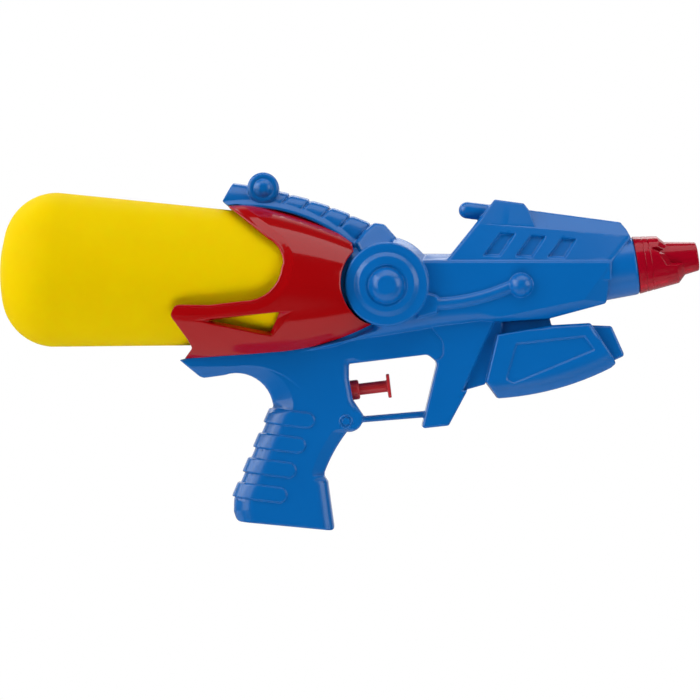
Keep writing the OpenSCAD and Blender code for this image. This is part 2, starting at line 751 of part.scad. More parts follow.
// Soft ring that the neck presses on the socket floor
module tank_washer() {
    color("#3a3a3a")
        at_tank()
            turned([[neck_r - 4, seat_s - washer_t], [neck_r - 0.3, seat_s - washer_t],
                [neck_r - 0.3, seat_s - 0.01], [neck_r - 4, seat_s - 0.01]]);
}

// Routes of the three hoses, each from nipple to nipple
dip_route = bend([tank_pt(seat_s - 1.6, 0), tank_pt(seat_s - barb_len - 1.4, 0),
    tank_pt(seat_s - barb_len - 5, 0), tank_pt(neck_root_s - 6, -2),
    tank_pt(tank_start_s - 10, -12), tank_pt(tank_start_s - 26, -22), tank_pt(tank_start_s - 44, -26)], 4);
suction_route = bend([tank_pt(socket_front_s + 1.1, 0), tank_pt(socket_front_s + barb_len + 1.4, 0),
    tank_pt(socket_front_s + barb_len + 3.4, 0), tank_pt(seat_s + 17, -4),
    tank_pt(seat_s + 18, -13) + [0, 1.5, 0], [turret_x - 6, 4.5, turret_z - 24], [30, 6, 45.5],
    pump_pt(-13, 8, 13), pump_pt(-14.8, 8, 4), pump_pt(-15, 7.8, -6), pump_pt(-16.4, 3.6, inlet_h - 0.4),
    pump_pt(elbow_end_s + 2.2, 0, inlet_h - elbow_rise),
    pump_pt(elbow_end_s + 0.2, 0, inlet_h - elbow_rise),
    pump_pt(elbow_end_s - 3.4, 0, inlet_h - elbow_rise)], 5);
delivery_route = bend([pump_pt(elbow_end_s - 3.4, 0, outlet_h + elbow_rise),
    pump_pt(elbow_end_s + 0.2, 0, outlet_h + elbow_rise),
    pump_pt(elbow_end_s + 2.2, 0, outlet_h + elbow_rise), [16, -2, 41], [28, -3, 46.2],
    seam_pt(up(2, -21)) - [0, 2.4, 0], seam_pt(up(34, -8)), muzzle_pt(-52) - [0, 0, 3], muzzle_pt(-26),
    muzzle_pt(-muzzle_plug - barb_len - 3.4), muzzle_pt(-muzzle_plug - 3.2)], 6);
echo("hose lengths", route_len(dip_route), route_len(suction_route), route_len(delivery_route));

module dip_tube() {
    color("#dfe6e8")
        tube(dip_route, hose_d / 2, hose_bore / 2);
}

module suction_tube() {
    color("#dfe6e8")
        tube(suction_route, hose_d / 2, hose_bore / 2);
}

module delivery_tube() {
    color("#dfe6e8")
        tube(delivery_route, hose_d / 2, hose_bore / 2);
}

// Pump barrel, open at both ends
module pump_barrel() {
    color("#e9e9e4")
        at_pump()
            turned([[bore_r, barrel_back_s], [pump_r, barrel_back_s], [pump_r, barrel_front_s],
                [bore_r, barrel_front_s]]);
}

// Gland: collar round the stem, with a flange and a spigot in the pump barrel
module pump_gland() {
    color("#b51218")
        at_pump()
            turned([[stem_r + run, barrel_front_s - spigot_len],
                [bore_r - 0.02, barrel_front_s - spigot_len], [bore_r - 0.02, barrel_front_s],
                [pump_r, barrel_front_s], [pump_r, flange_s], [gland_r, flange_s],
                [gland_r, gland_front_s - 0.4], [gland_r - 0.4, gland_front_s],
                [stem_r + run, gland_front_s]]);
}

// Trigger: plate, stem and the tail that carries the piston
module trigger() {
    color("#b51218")
        at_pump() {
            turned([[0, piston_back_s], [tail_r, piston_back_s], [tail_r, piston_front_s],
                [stem_r, piston_front_s], [stem_r, pad_back_s], [0, pad_back_s]]);
            translate([pad_back_s - 0.01, -pad_w / 2, -pad_h / 2])
                cube([pad_t, pad_w, pad_h]);
        }
}

// Piston pressed on the tail of the trigger, grooved for its ring
module piston() {
    mid = piston_front_s - piston_len / 2;
    piston_r = bore_r - 0.3;
    press_r = tail_r + 0.02;
    color("#e9e9e4")
        at_pump()
            turned([[press_r, piston_back_s], [piston_r, piston_back_s], [piston_r, mid - ring_w / 2],
                [piston_r - 1, mid - ring_w / 2], [piston_r - 1, mid + ring_w / 2],
                [piston_r, mid + ring_w / 2], [piston_r, piston_front_s - 0.01],
                [press_r, piston_front_s - 0.01]]);
}

// Rubber ring that seals the piston in the barrel
module piston_ring() {
    mid = piston_front_s - piston_len / 2;
    color("#3a3a3a")
        at_pump()
            turned([[bore_r - 1.28, mid - ring_w / 2 + 0.02], [bore_r - run, mid - ring_w / 2 + 0.02],
                [bore_r - run, mid + ring_w / 2 - 0.02], [bore_r - 1.28, mid + ring_w / 2 - 0.02]]);
}

// Return spring between piston and tower
spring_r = bore_r - 1.3;
spring_front_s = piston_back_s - wire_d / 2 - 0.02;
spring_back_s = barrel_back_s + wire_d / 2 + 0.02;
spring_gap = (spring_front_s - spring_back_s) / coils - wire_d;
echo("least gap between spring coils", spring_gap);
module return_spring() {
    turns = coils * 10;
    color("#9aa0a6")
        at_pump()
            wire([for (i = [0:turns]) [spring_back_s + (spring_front_s - spring_back_s) * i / turns,
                spring_r * cos(i * 36), spring_r * sin(i * 36)]], wire_d / 2);
}

// Valve tower: upright tube with two ball seats and a port into the barrel
module valve_tower() {
    low = inlet_seat_h - land_h;
    high = outlet_seat_h + land_h + chamber_h;
    pad_s = barrel_back_s - tower_s;
    color("#e9e9e4")
        at_tower()
            difference() {
                union() {
                    translate([0, 0, low - plug_h])
                        cylinder(r = tower_r, h = high - low + 2 * plug_h);
                    rotate([0, 90, 0])
                        cylinder(r = pump_r, h = pad_s);
                }
                translate([0, 0, low - plug_h - 1])
                    cylinder(r = tower_bore, h = plug_h + 1);
                translate([0, 0, low - 1])
                    cylinder(r = seat_r, h = land_h + 1.5);
                translate([0, 0, inlet_seat_h])
                    cylinder(r = tower_bore, h = outlet_seat_h - inlet_seat_h);
                translate([0, 0, outlet_seat_h - 1])
                    cylinder(r = seat_r, h = land_h + 2);
                translate([0, 0, outlet_seat_h + land_h])
                    cylinder(r = tower_bore, h = chamber_h + plug_h + 1);
                rotate([0, 90, 0])
                    cylinder(r = port_r, h = pad_s + 1);
            }
}

// Elbow nipple plugged into the upper end of the tower, with its hose barb pointing forward
module nipple(end_h) {
    difference() {
        union() {
            translate([0, 0, end_h - plug_h])
                cylinder(r = tower_bore - 0.02, h = plug_h);
            translate([0, 0, end_h])
                cylinder(r = tower_r, h = elbow_rise + barb_r + 0.4);
            translate([0, 0, end_h + elbow_rise])
                rotate([0, 90, 0])
                    cylinder(r = barb_r, h = tower_r + elbow_len);
        }
        translate([0, 0, end_h - plug_h - 1])
            cylinder(r = bore_way_r, h = plug_h + 1 + elbow_rise);
        translate([0, 0, end_h + elbow_rise])
            rotate([0, 90, 0])
                cylinder(r = bore_way_r, h = tower_r + elbow_len + 1);
    }
}

module inlet_nipple() {
    color("#dcdcd6")
        at_tower()
            mirror([0, 0, 1])
                nipple(-inlet_h);
}

module outlet_nipple() {
    color("#dcdcd6")
        at_tower()
            nipple(outlet_h);
}

// Height of a ball that rests on the rim of its seat
ball_rise = sqrt(ball_r * ball_r - seat_r * seat_r);
module inlet_ball() {
    color("#c9ced2")
        at_tower()
            translate([0, 0, inlet_seat_h + ball_rise])
                sphere(r = ball_r);
}

module outlet_ball() {
    color("#c9ced2")
        at_tower()
            translate([0, 0, outlet_seat_h + land_h + ball_rise])
                sphere(r = ball_r);
}

// Jet in the muzzle, with the orifice in front and a hose barb behind
jet_r = 3;
module nozzle_jet() {
    tip_s = muzzle_len - tip_recess - 0.5;
    stop_s = -muzzle_plug - 2;
    color("#e9e9e4")
        at_muzzle()
            turned([[bore_way_r, stop_s - barb_len - 1], [barb_r, stop_s - barb_len - 1], [barb_r, stop_s],
                [jet_r + 2, stop_s], [jet_r + 2, -muzzle_plug - 0.1], [jet_r, -muzzle_plug - 0.1],
                [jet_r, tip_s], [orifice_d / 2, tip_s], [orifice_d / 2, tip_s - 2],
                [bore_way_r, tip_s - 2]]);
}

// Muzzle: stepped cone with a crown edge, snapped between the shells by its groove
module muzzle() {
    base_r = muzzle_d / 2;
    tip_r = tip_d / 2;
    crown_s = muzzle_len * 0.36;
    color("#a00d1c")
        at_muzzle()
            turned([[jet_r + 0.05, -muzzle_plug], [spigot_r, -muzzle_plug], [spigot_r, -lip_len - 2 * fit],
                [groove_r, -lip_len - 2 * fit], [groove_r, 0.05], [base_r, 0.05], [base_r - 0.3, 2.4],
                [base_r - 1, 2.5], [base_r - 1, 3.4], [base_r - 0.5, 3.5], [base_r - 2, crown_s],
                [base_r - 3.6, crown_s + 0.01], [tip_r + 1, muzzle_len - 1], [tip_r, muzzle_len],
                [tip_r - 2, muzzle_len], [jet_r + 0.05, muzzle_len - tip_recess]]);
}

right_shell();
left_shell();
right_cheek();
left_cheek();
water_tank();
tank_socket();
tank_washer();
dip_tube();
suction_tube();
delivery_tube();
pump_barrel();
pump_gland();
trigger();
piston();
piston_ring();
return_spring();
valve_tower();
inlet_nipple();
outlet_nipple();
inlet_ball();
outlet_ball();
nozzle_jet();
muzzle();
shell_screws();
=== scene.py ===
import math

import bmesh
import bpy
import numpy as np
from mathutils import Matrix, Vector


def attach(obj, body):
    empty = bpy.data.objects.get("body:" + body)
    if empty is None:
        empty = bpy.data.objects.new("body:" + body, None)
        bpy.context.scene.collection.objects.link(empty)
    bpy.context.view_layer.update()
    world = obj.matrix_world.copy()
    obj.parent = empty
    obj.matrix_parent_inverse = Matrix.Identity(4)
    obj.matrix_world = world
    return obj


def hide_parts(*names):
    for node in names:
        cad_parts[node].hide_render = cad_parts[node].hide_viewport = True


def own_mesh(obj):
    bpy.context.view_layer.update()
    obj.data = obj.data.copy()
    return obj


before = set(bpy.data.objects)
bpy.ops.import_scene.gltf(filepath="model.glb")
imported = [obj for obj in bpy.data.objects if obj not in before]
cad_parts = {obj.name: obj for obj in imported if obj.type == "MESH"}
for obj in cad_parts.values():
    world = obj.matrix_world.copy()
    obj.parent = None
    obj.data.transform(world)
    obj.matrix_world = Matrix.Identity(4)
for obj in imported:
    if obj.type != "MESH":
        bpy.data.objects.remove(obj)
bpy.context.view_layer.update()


# Blue half shells. Two injection-moulded polystyrene shells meet on the seam plane and carry everything.
# All sizes are in millimetres in the part's own frame; each mould is a block of distances to the plastic's
# surface, so that facets, ribs and fillets blend as they do in a cut steel mould.
class Mould:
    """Distances in mm on an even grid, negative inside the plastic."""

    def __init__(self, lo, hi, step):
        self.lo, self.step = np.array(lo, np.float32), step
        count = np.ceil((np.array(hi) - lo) / step).astype(int) + 1
        axes = [np.float32(a + step * np.arange(n)) for a, n in zip(lo, count)]
        self.x, self.y, self.z = axes[0][:, None, None], axes[1][None, :, None], axes[2][None, None, :]
        self.d = np.full(count, 60, np.float32)

    def over(self, x0, x1, z0, z1, values=None):
        """Grid lines and values, the distances if no others are given, over a rectangle of the X-Z plane."""
        first = [max(0, round((a - b) / self.step)) for a, b in ((x0, self.lo[0]), (z0, self.lo[2]))]
        last = [max(1, round((a - b) / self.step)) for a, b in ((x1, self.lo[0]), (z1, self.lo[2]))]
        i, k = (slice(a, b) for a, b in zip(first, last))
        return self.x[i], self.z[:, :, k], (self.d if values is None else values)[i, :, k]


def outline(points, x, z):
    """Distance to a closed outline in the X-Z plane, negative inside."""
    near = np.full(np.broadcast_shapes(x.shape, z.shape), 1e9, np.float32)
    inside = np.zeros(near.shape, bool)
    for (ax, az), (bx, bz) in zip(points, points[1:] + points[:1]):
        ex, ez = bx - ax, bz - az
        t = np.clip(((x - ax) * ex + (z - az) * ez) / (ex * ex + ez * ez + 1e-9), 0, 1)
        near = np.minimum(near, (x - ax - t * ex) ** 2 + (z - az - t * ez) ** 2)
        if ez:
            inside ^= ((az > z) != (bz > z)) & (x < ax + (z - az) / ez * ex)
    return np.where(inside, -1, 1).astype(np.float32) * np.sqrt(near)


def past(a, b, x, z):
    """Distance to the left of the line from a to b."""
    ux, uz = b[0] - a[0], b[1] - a[1]
    return (ux * (z - a[1]) - uz * (x - a[0])) / math.hypot(ux, uz)


def arc(a, b, c, n=16):
    """Points on the circle from a through b to c, and its centre and radius."""
    (ax, az), (bx, bz), (cx, cz) = a, b, c
    k = 2 * (ax * (bz - cz) + bx * (cz - az) + cx * (az - bz))
    sa, sb, sc = ax * ax + az * az, bx * bx + bz * bz, cx * cx + cz * cz
    ox = (sa * (bz - cz) + sb * (cz - az) + sc * (az - bz)) / k
    oz = (sa * (cx - bx) + sb * (ax - cx) + sc * (bx - ax)) / k
    r = math.hypot(ax - ox, az - oz)
    start, mid, end = (math.atan2(p[1] - oz, p[0] - ox) for p in (a, b, c))
    full, part = (end - start) % math.tau, (mid - start) % math.tau
    sweep = full if part < full else full - math.tau
    turn = [start + sweep * i / n for i in range(n + 1)]
    return [(ox + r * math.cos(t), oz + r * math.sin(t)) for t in turn], (ox, oz), r


def rounded(corners, n=6):
    """Outline from (x, z, radius) corners; the radius is left out at a sharp corner."""
    made = []
    for i, (x, z, *r) in enumerate(corners):
        if not r:
            made.append((x, z))
            continue
        p = np.array([x, z])
        u = np.array(corners[i - 1][:2]) - p
        v = np.array(corners[(i + 1) % len(corners)][:2]) - p
        lu, lv = np.linalg.norm(u), np.linalg.norm(v)
        half = math.acos(np.clip(u @ v / lu / lv, -1, 1)) / 2
        cut = min(r[0] / math.tan(half), 0.48 * lu, 0.48 * lv)
        a, b = p + u / lu * cut, p + v / lv * cut
        bend = np.linspace(0, 1, n + 1)
        made += [tuple((1 - t) ** 2 * a + 2 * t * (1 - t) * p + t * t * b) for t in bend]
    return made


def slab(flat, depth, half, edge):
    """An outline carried out from the seam to a half width, with a rounded edge."""
    u, v = flat + edge, depth - half + edge
    return np.minimum(np.maximum(u, v), 0) + np.sqrt(np.maximum(u, 0) ** 2 + np.maximum(v, 0) ** 2) - edge


def join(a, b, k):
    """Both bodies, with a fillet of about k mm between them."""
    h = np.clip(0.5 + 0.5 * (b - a) / k, 0, 1)
    return b + (a - b) * h - k * h * (1 - h)


def meet(a, b, k):
    """What two bodies share, with edges rounded by about k mm."""
    return -join(-a, -b, k)


def ease(t):
    """Smooth step from 0 to 1."""
    t = np.clip(t, 0, 1)
    return t * t * (3 - 2 * t)


# Axes of the turret and tank, the muzzle's collar and the pump: a point in X and Z, and the rise in degrees
turret, tank_tilt = (46.0, 76.04), -2.6
collar_at, barrel_tilt = (164.1, 85.34), 8.3
pump_at, pump_tilt = (28.5, 25.9), 6.8
frame_half, barrel_half, wall = 12, 16, 2
shell = Mould((-55, -29, -43), (168, 0.9, 131), 0.45)
depth = -shell.y
x, z, d = shell.over(-55, 169, -43, 132)

# Frame: tang, grip, trigger guard and leg, with the edge rounding of a hand-sized grip
belly = [(-52, 40.4), (-46.4, 40.8), (-40.8, 41.2), (-20, 42.7)]
belly += arc((-6, 43.8), (17.5, 48.2), (39, 57.1))[0]
neck = arc((-31, 33.2), (-12.6, 28.8), (-7.9, 18.8), 12)[0]
grip_front = arc((16.5, -12.8), (20.7, -3.5), (27.1, 6.4), 8)[0]
lug_edge = arc((28.6, 6.3), (33.1, 8.7), (34.7, 12.6), 8)[0]
tang = [(-42.6, 32.6), (-40.6, 31.9), (-38, 32.2)] + neck + [(-25.6, -23), (-26.5, -25.5)]
heel = rounded([(-26.5, -26), (-26.6, -31.5, 4), (-25, -35.9, 4), (-10, -37.3)])[1:-1]
toe = rounded([(-10, -37.3), (21.4, -40.3, 2), (18.2, -17.2, 0.8), (16.5, -14.8, 0.8), (16.5, -12.8)])[1:-1]
gap = [(34.8, 14.3), (29.9, 21.6, 2), (28.1, 31.7, 3), (28.1, 38.5, 0.8)]
gap += [(65.4, 43, 4), (69.8, 39.5, 3), (64.3, 16.6)]
leg = rounded([(64.3, 16.6), (62.4, 8.0, 1.4), (75.1, 9.4, 1.2), (84.8, 27.5, 1)])[1:]
top_edge = [(97, 59.8), (96, 70), (66, 76), (46, 70), (33, 64)]
top_edge += [(a, b + 2.2 * min(1, max(0, (a + 50) / 8))) for a, b in belly[::-1] if a < 32]
rest = grip_front + lug_edge + rounded(gap) + leg + top_edge
flat = outline(tang + heel + toe + rest, x, z)
sides = outline(tang + heel[:7] + [(-19, -60), (24.1, -60), (18.2, -17.2), (16.5, -14.8)] + rest, x, z)
back = past((-7.9, 18.8), (-25.6, -23), x, z)
front = past((20, -38), (18, -8), x, z)
behind = ease((front - back) / 8 + 0.5) * ease((21 - z) / 5)
fore = ease((back - front) / 8 + 0.5)
edge = 1.2 + 8.8 * behind + 6 * fore * ease((-14 - z) / 3)
edge = edge + 2.6 * ease((34 - x) / 4) * ease((x - 20) / 4) * ease((z - 13) / 4) * ease((44 - z) / 4)
# A facet slants in to the web of the hand, under a faint crease, and one to the fingers in front
hold = [(-80, 37.3), (-22, 37.5)] + arc((-18, 37.4), (-4.9, 32.3), (1.7, 20), 10)[0]
hold += [(1.7, 12), (200, 12), (200, 90), (-80, 90)]
slope = np.maximum(outline(hold, x, z), 0) * ease((z - 15) / 4)
bend_at, bend_r = arc((-18.2, 37.8), (-4.9, 34.4), (7.2, 25))[1:]
within = bend_r - np.hypot(x - bend_at[0], z - bend_at[1])
faint = 0.4 * np.clip(within / 0.6, 0, 1) * ease((8 - x) / 9) * ease((z - 17) / 5) * ease((x + 30) / 10)
fingers = np.maximum(5.8 + sides, 0) * fore * ease((8 - z) / 2) * (z > -14.6)
half = frame_half - 0.5 * slope - faint - 0.45 * fingers
d[...] = np.maximum(slab(sides, depth, half, edge), slab(flat, depth, half + 0.01, 1.2))
del slope, within, faint, fingers


def tilted(x, z, at, degrees):
    """Stations along and heights above an axis that rises forward by an angle."""
    c, s = math.cos(math.radians(degrees)), math.sin(math.radians(degrees))
    return (x - at[0]) * c + (z - at[1]) * s, (z - at[1]) * c - (x - at[0]) * s


# Four raised finger bars that wrap round the back of the grip, where they stand out more
bar_r, side_proud, back_proud = 3.55, 0.9, 1.4
gx, gz, gd = shell.over(-32, 18, -30, 24)
grip = gd.copy()
for i in range(4):
    bar_x, bar_z = 8.2 - 4.35 * i, 11.9 - 11.75 * i
    run, rise = tilted(gx, gz, (bar_x, bar_z), -7)
    bar = np.hypot(np.maximum(run, 0), rise) - bar_r
    proud = side_proud + (back_proud - side_proud) * ease((-run - 14) / 6)
    gd[...] = np.minimum(gd, meet(grip - proud, np.broadcast_to(bar, gd.shape), 0.7))
del grip

# Panel over the finger gap, set back from the leg, and the ring on the lug
panel_deep, lug = 0.7, (26.6, 11.4)
px, pz, pd = shell.over(20, 80, 0, 60)
panel = outline(rounded([(20, 36), (61, 36), (72.6, 42, 3), (72.4, 49, 5), (66, 57), (20, 60)]), px, pz)
pd[...] = np.maximum(pd, -np.maximum(panel, frame_half - panel_deep * ease((px - 30) / 30) - depth))
ring = np.hypot(px - lug[0], pz - lug[1])
pd[...] = np.minimum(pd, np.maximum(ring - 3, depth - frame_half - 0.4))
pd[...] = np.maximum(pd, -np.maximum(np.abs(ring - 2.2) - 0.3, frame_half - 0.1 - depth))
rail = outline([(33, 10.6), (64, 13.1), (65, 16.3), (33, 13.6)], px, pz)
pd[...] = join(pd, slab(rail, depth, 3.2, 1.2), 0.8)

# Barrel: the long body that rises to the front, with a rounded belly and a slanting front corner
crease = [(33.2, 49.1), (98.8, 60.4), (138.6, 68.6), (151.3, 86.3)]
barrel_edge = (
    [(4, 43.9), (16, 46.1), crease[0], (89.8, 59.0), (100, 58.4), (122.6, 59.9)]
    + rounded([(122.6, 59.9), (149, 67, 1.5), (149.8, 69, 1), (151.4, 86.5, 0.6), (130, 86.6)])[1:]
    + [(60, 86.6), (44, 86)]
    + [p for p in belly[::-1] if p[0] > 2]
)
bx, bz, bd = shell.over(0, 160, 40, 96)
flat = outline(barrel_edge, bx, bz)
above = [past(a, b, bx, bz) for a, b in zip(crease, crease[1:])]
edge = 0.8 + 7.4 * ease((15 - above[0]) / 7) * ease((120 - bx) / 60) * ease((bx - 14) / 16)
keel = np.maximum(np.maximum(-above[0], -above[1]), 0) * ease((bx - 86) / 12)
start = frame_half + 0.1
half = start + (barrel_half - start) * ease((bx - 6) / 18)
half = half - np.maximum(keel, 0.32 * np.maximum(-above[2], 0))
bd[...] = join(bd, slab(flat, depth, half, edge), 0.5)
flat = outline([(44, 78), (151.4, 78), (151.4, 90.5), (44, 90.7)], bx, bz)
bd[...] = np.minimum(bd, slab(flat, depth, 15.6 - 2.6 * np.maximum(bz - 87, 0), 0.5))

# Hood: a slotted lower facet, a flatter upper facet and the sight block
hood_half, slot_deep = 15.2, 1.8
hx, hz, hd = shell.over(66, 168, 82, 120)
hood_edge = [(72.6, 86), (151.3, 86, 0.5), (161.3, 98, 1.2), (159.4, 102.2, 1), (156.7, 105.8, 1.5)]
hood_edge += [(114, 111.6), (95.4, 114.2, 1), (88.4, 105.6)]
flat = outline(rounded(hood_edge), hx, hz)
above = np.maximum(past((88.5, 104.8), (160.2, 99.4), hx, hz), 0)
rise = np.minimum(hz, 104.8 - 0.0753 * (hx - 88.5)) - 86.5
wall_y = hood_half - (0.26 + 0.0025 * (hx - 76)) * rise
half = wall_y - 0.95 * above
for i in range(3):
    slot = [(91 + 15.1 * i, 89.5 - 0.4 * i), (99.2 + 15.25 * i, 89.1 - 0.45 * i)]
    slot += [(106.9 + 14.35 * i, 100.3 - 1.33 * i), (99.3 + 14.55 * i, 100.7 - 1.23 * i)]
    half = half - slot_deep * np.clip(-outline(rounded([(*p, 0.6) for p in slot]), hx, hz) / 0.7, 0, 1)
half = half - 0.25 * np.maximum(2.2 - past((151.3, 86.3), (161.3, 98), hx, hz), 0)
edge = 0.9 + 0.9 * ease((3 - np.abs(past((76.1, 90.8), (95.2, 114.1), hx, hz))) / 2)
hd[...] = join(hd, slab(flat, depth, half, edge), 0.4)
sight = [(88.5, 104.6), (116.3, 103.2), (113.2, 111.5, 0.8)]
sight += [(110.9, 114.6, 1), (97, 116.5, 1), (95.2, 114.1)]
hd[...] = np.minimum(hd, slab(outline(rounded(sight), hx, hz), depth, wall_y - 0.42 * above, 0.7))
run, rise = tilted(hx, hz, (84.1, 111.5), -7)
stub = np.sqrt(np.minimum(run, 0) ** 2 + rise**2 + depth**2) - 4
hd[...] = join(hd, np.maximum(stub, run - 18), 0.7)
run, rise = tilted(x, z, collar_at, barrel_tilt)
round_ = np.sqrt(rise**2 + shell.y**2)
cone = np.maximum(round_ - 13.85 + 0.04 * run, -30 - run)
d[...] = join(d, meet(cone, np.broadcast_to(run, cone.shape), 1.6), 0.3)
del round_, cone

# Turret: a stepped disc with a domed cap on a shoulder, beside the block that holds the swept rod
tx, tz, td = shell.over(20, 80, 48, 104)
ring = np.hypot(tx - turret[0] + 0.4, tz - turret[1] + 0.1)
shoulder = np.maximum(slab(ring - 22.8, depth, 17 - 2.6 * np.maximum(ring - 19.8, 0), 0.4), 48.6 - tx)
td[...] = join(td, np.maximum(shoulder, 80 - tz), 0.5)
disc_r = [0, 10.6, 12.8, 13.2, 14.9, 15.3, 18.8, 19.4, 19.7]
disc_y = [24.0, 24.0, 24.0, 23.85, 22.55, 22.4, 22.4, 22.1, 21.5]
cap = np.hypot(tx - turret[0] + 0.4, tz - turret[1] + 0.7)
cap_r = [0, 3.9, 4.6, 5.9, 7.2, 8.0, 8.5, 9.0, 9.8]
cap_y = [27.3, 27.3, 27.1, 26.3, 25.0, 23.8, 23.2, 23.2, 24.0]
face = np.where(cap < cap_r[-1], np.interp(cap, cap_r, cap_y), np.interp(ring, disc_r, disc_y))
td[...] = join(td, np.maximum(ring - disc_r[-1], 0.7 * (depth - face.astype(np.float32))), 0.25)
block = rounded([(60, 60), (69.8, 62.6, 1), (70.2, 69.8, 1), (68.8, 70.8, 0.8), (65, 71.9), (60, 73.5)])
td[...] = join(td, slab(outline(block, tx, tz), depth, 17.8, 1.2), 0.5)
bend_x, bend_z, rod_bend, rod_r, ball_r = 66, 159.34, 92.6, 2.75, 5.6
rx, rz, rd = shell.over(64, 120, 60, 86)
swing = np.degrees(np.arctan2(rz - bend_z, rx - bend_x))
rod = np.sqrt((np.hypot(rx - bend_x, rz - bend_z) - rod_bend) ** 2 + (depth - 15.2) ** 2) - rod_r
rd[...] = join(rd, np.maximum(rod, np.maximum(swing + 62, -89 - swing)), 0.5)
ball = np.sqrt((rx - 108.9) ** 2 + (rz - 75.6) ** 2 + (depth - 15.6) ** 2) - ball_r
rd[...] = join(rd, ball, 0.5)

# Pod under the barrel, its nose, and the webs that carry it
pod_half, facing_deep = 13.5, 0.85
qx, qz, qd = shell.over(80, 162, 18, 66)
pod_floor = arc((98.7, 22.2), (126.8, 26.9), (151.8, 36.6), 12)[0]
pod_rear = rounded([(98, 52.4), (92.7, 30.3, 1.5), (98.4, 22.4)])[1:]
pod_front = rounded([(151.8, 36.6), (154.3, 38.8, 1.4), (142, 57.9, 1.6), (124, 56.9), (98, 52.4)])[1:]
flat = outline(pod_rear + pod_floor + pod_front, qx, qz)
chin = outline(pod_floor + [(160, 40), (160, 90), (80, 90), (80, 20)], qx, qz)
half = pod_half - 0.05 * np.maximum(9 + chin, 0) ** 2
facing = rounded([(101.7, 31, 2), (105.6, 28.9, 2), (144.3, 45, 1), (139.3, 52, 1), (106.6, 48.3, 1)])
half = half - facing_deep * np.clip(-outline(facing, qx, qz) / 0.7, 0, 1)
edge = 1.1 + 1.4 * ease((qz - 49) / 3) * ease((qx - 110) / 10)
pod = slab(flat, depth, half, edge)
nose_edge = [(138, 44), (152.5, 39.7), (157.9, 42.2, 1), (158, 43.6, 1), (152.2, 56.5, 1.5), (138, 57)]
nose = slab(outline(rounded(nose_edge), qx, qz), depth, 8.5, 1.5)
strip_edge = [(79, 25.6), (84, 26.4), (92.3, 28.8), (100.6, 56), (101, 64), (95, 64)]
strip = slab(outline(strip_edge, qx, qz), depth, 8.4, 0.8)
web = slab(outline([(98, 50), (124.4, 55), (122.3, 63), (99, 63)], qx, qz), depth, 6, 0.5)
for body in (pod, nose, strip, web):
    qd[...] = join(qd, body, 0.3)
del pod, nose, strip, web

# Spine over the tank: flange along the cheek, five pillow ribs, knob and front clamp
sx, sz, sd = shell.over(-38, 54, 88, 131)
crest, middle, crest_r = arc((-28.5, 113.4), (6, 109.3), (29.4, 96.0))
over = np.hypot(sx - middle[0], sz - middle[1]) - crest_r
along = (math.pi / 2 - np.arctan2(sz - middle[1], sx - middle[0])) * crest_r + middle[0]
ridge_at, ridge_r = arc((-26.9, 124.4), (9.1, 116.7), (38.4, 105.1))[1:]
top = over + ridge_r - np.hypot(sx - ridge_at[0], sz - ridge_at[1])
rib_pitch = 9.6
place = sx + 0.69 * (top - over) - 0.3
share = np.where((place > -rib_pitch) & (place < 4 * rib_pitch), place / rib_pitch % 1, 0.5)
notch = 1.1 * np.abs(2 * share - 1) ** 9 + 0.4 * (0.5 - share)
tail = np.maximum(past((-32.6, 114.2), (-27, 124.4), sx, sz), past((-29.2, 113.3), (-32.2, 115.9), sx, sz))
core = (np.sqrt(((over - 1.2) / (top - 1.2 - notch)) ** 2 + (depth / (7.8 - notch)) ** 2) - 1) * 7
core = np.maximum(core, np.maximum(np.maximum(along - 41.5, tail), -over))
sd[...] = np.minimum(sd, core)
sunk = 1.4 * ease((along + 26) / 8)
rim = np.maximum(np.maximum(np.abs(over - 1.2 + sunk / 2) - 1.2 - sunk / 2, along - 42), tail)
sd[...] = join(sd, slab(rim, depth, 9.4 - 0.75 * np.maximum(over, 0), 0.5), 0.4)
clamp = [(31, 95.8), (33, 91), (46, 90), (50.4, 98.2, 1), (44.8, 104.7, 3), (40, 105.4, 2), (35.6, 101.8)]
ring = np.hypot(sx - turret[0], sz - turret[1])
clamp_half = 13.6 - 0.5 * np.maximum(ring - 19.5, 0)
sd[...] = join(sd, slab(outline(rounded(clamp), sx, sz), depth, clamp_half, 2.2), 0.5)
knob = np.hypot(sx + 12.6, sz - 121.6)
knob_r = [0, 1.5, 2.4, 3.4, 4.2, 4.6, 5.3, 6.2, 7, 7.5]
knob_y = [11.2, 11.2, 10.9, 10.2, 9.2, 9.0, 9.3, 9.2, 8.8, 8.1]
face = np.interp(knob, knob_r, knob_y)
sd[...] = join(sd, np.maximum(knob - knob_r[-1], 0.8 * (depth - face.astype(np.float32))), 0.4)


def bore(d, run, round_, r, back, front):
    """Cuts a round hole between two stations of an axis into a block of distances."""
    d[...] = np.maximum(d, -np.maximum(np.maximum(round_ - r, run - front), back - run))


# Hollow of one shell, then what stands inside it: socket cup, pump saddles and cheek posts
cup_r, cup_bore_r, groove_r, pump_bore_r, gland_hole_r = 18.86, 15.21, 16.41, 6.15, 4.8
post_r, peg_hole_r = 3.1, 1.4
pegs = [(20, turret[1] - 16), (20, turret[1] + 16)]
outer = shell.d.copy()
shell.d = np.maximum(shell.d, -(shell.d + wall))
x, z, d = shell.over(-55, 169, -43, 132)
run, rise = tilted(x, z, turret, tank_tilt)
round_ = np.sqrt(rise**2 + shell.y**2)
d[...] = np.minimum(d, np.maximum(np.maximum(round_ - cup_r, run + 10.6), -28.56 - run))
bore(d, run, round_, cup_bore_r, -29.56, -12.65)
bore(d, run, round_, groove_r, -24.15, -21.85)
bore(d, run, round_, 6, -20, -7)
gx, gz, gd = shell.over(-14, 46, 4, 46)
inner = shell.over(-14, 46, 4, 46, outer)[2]
run, rise = tilted(gx, gz, pump_at, pump_tilt)
round_ = np.sqrt(rise**2 + shell.y**2)
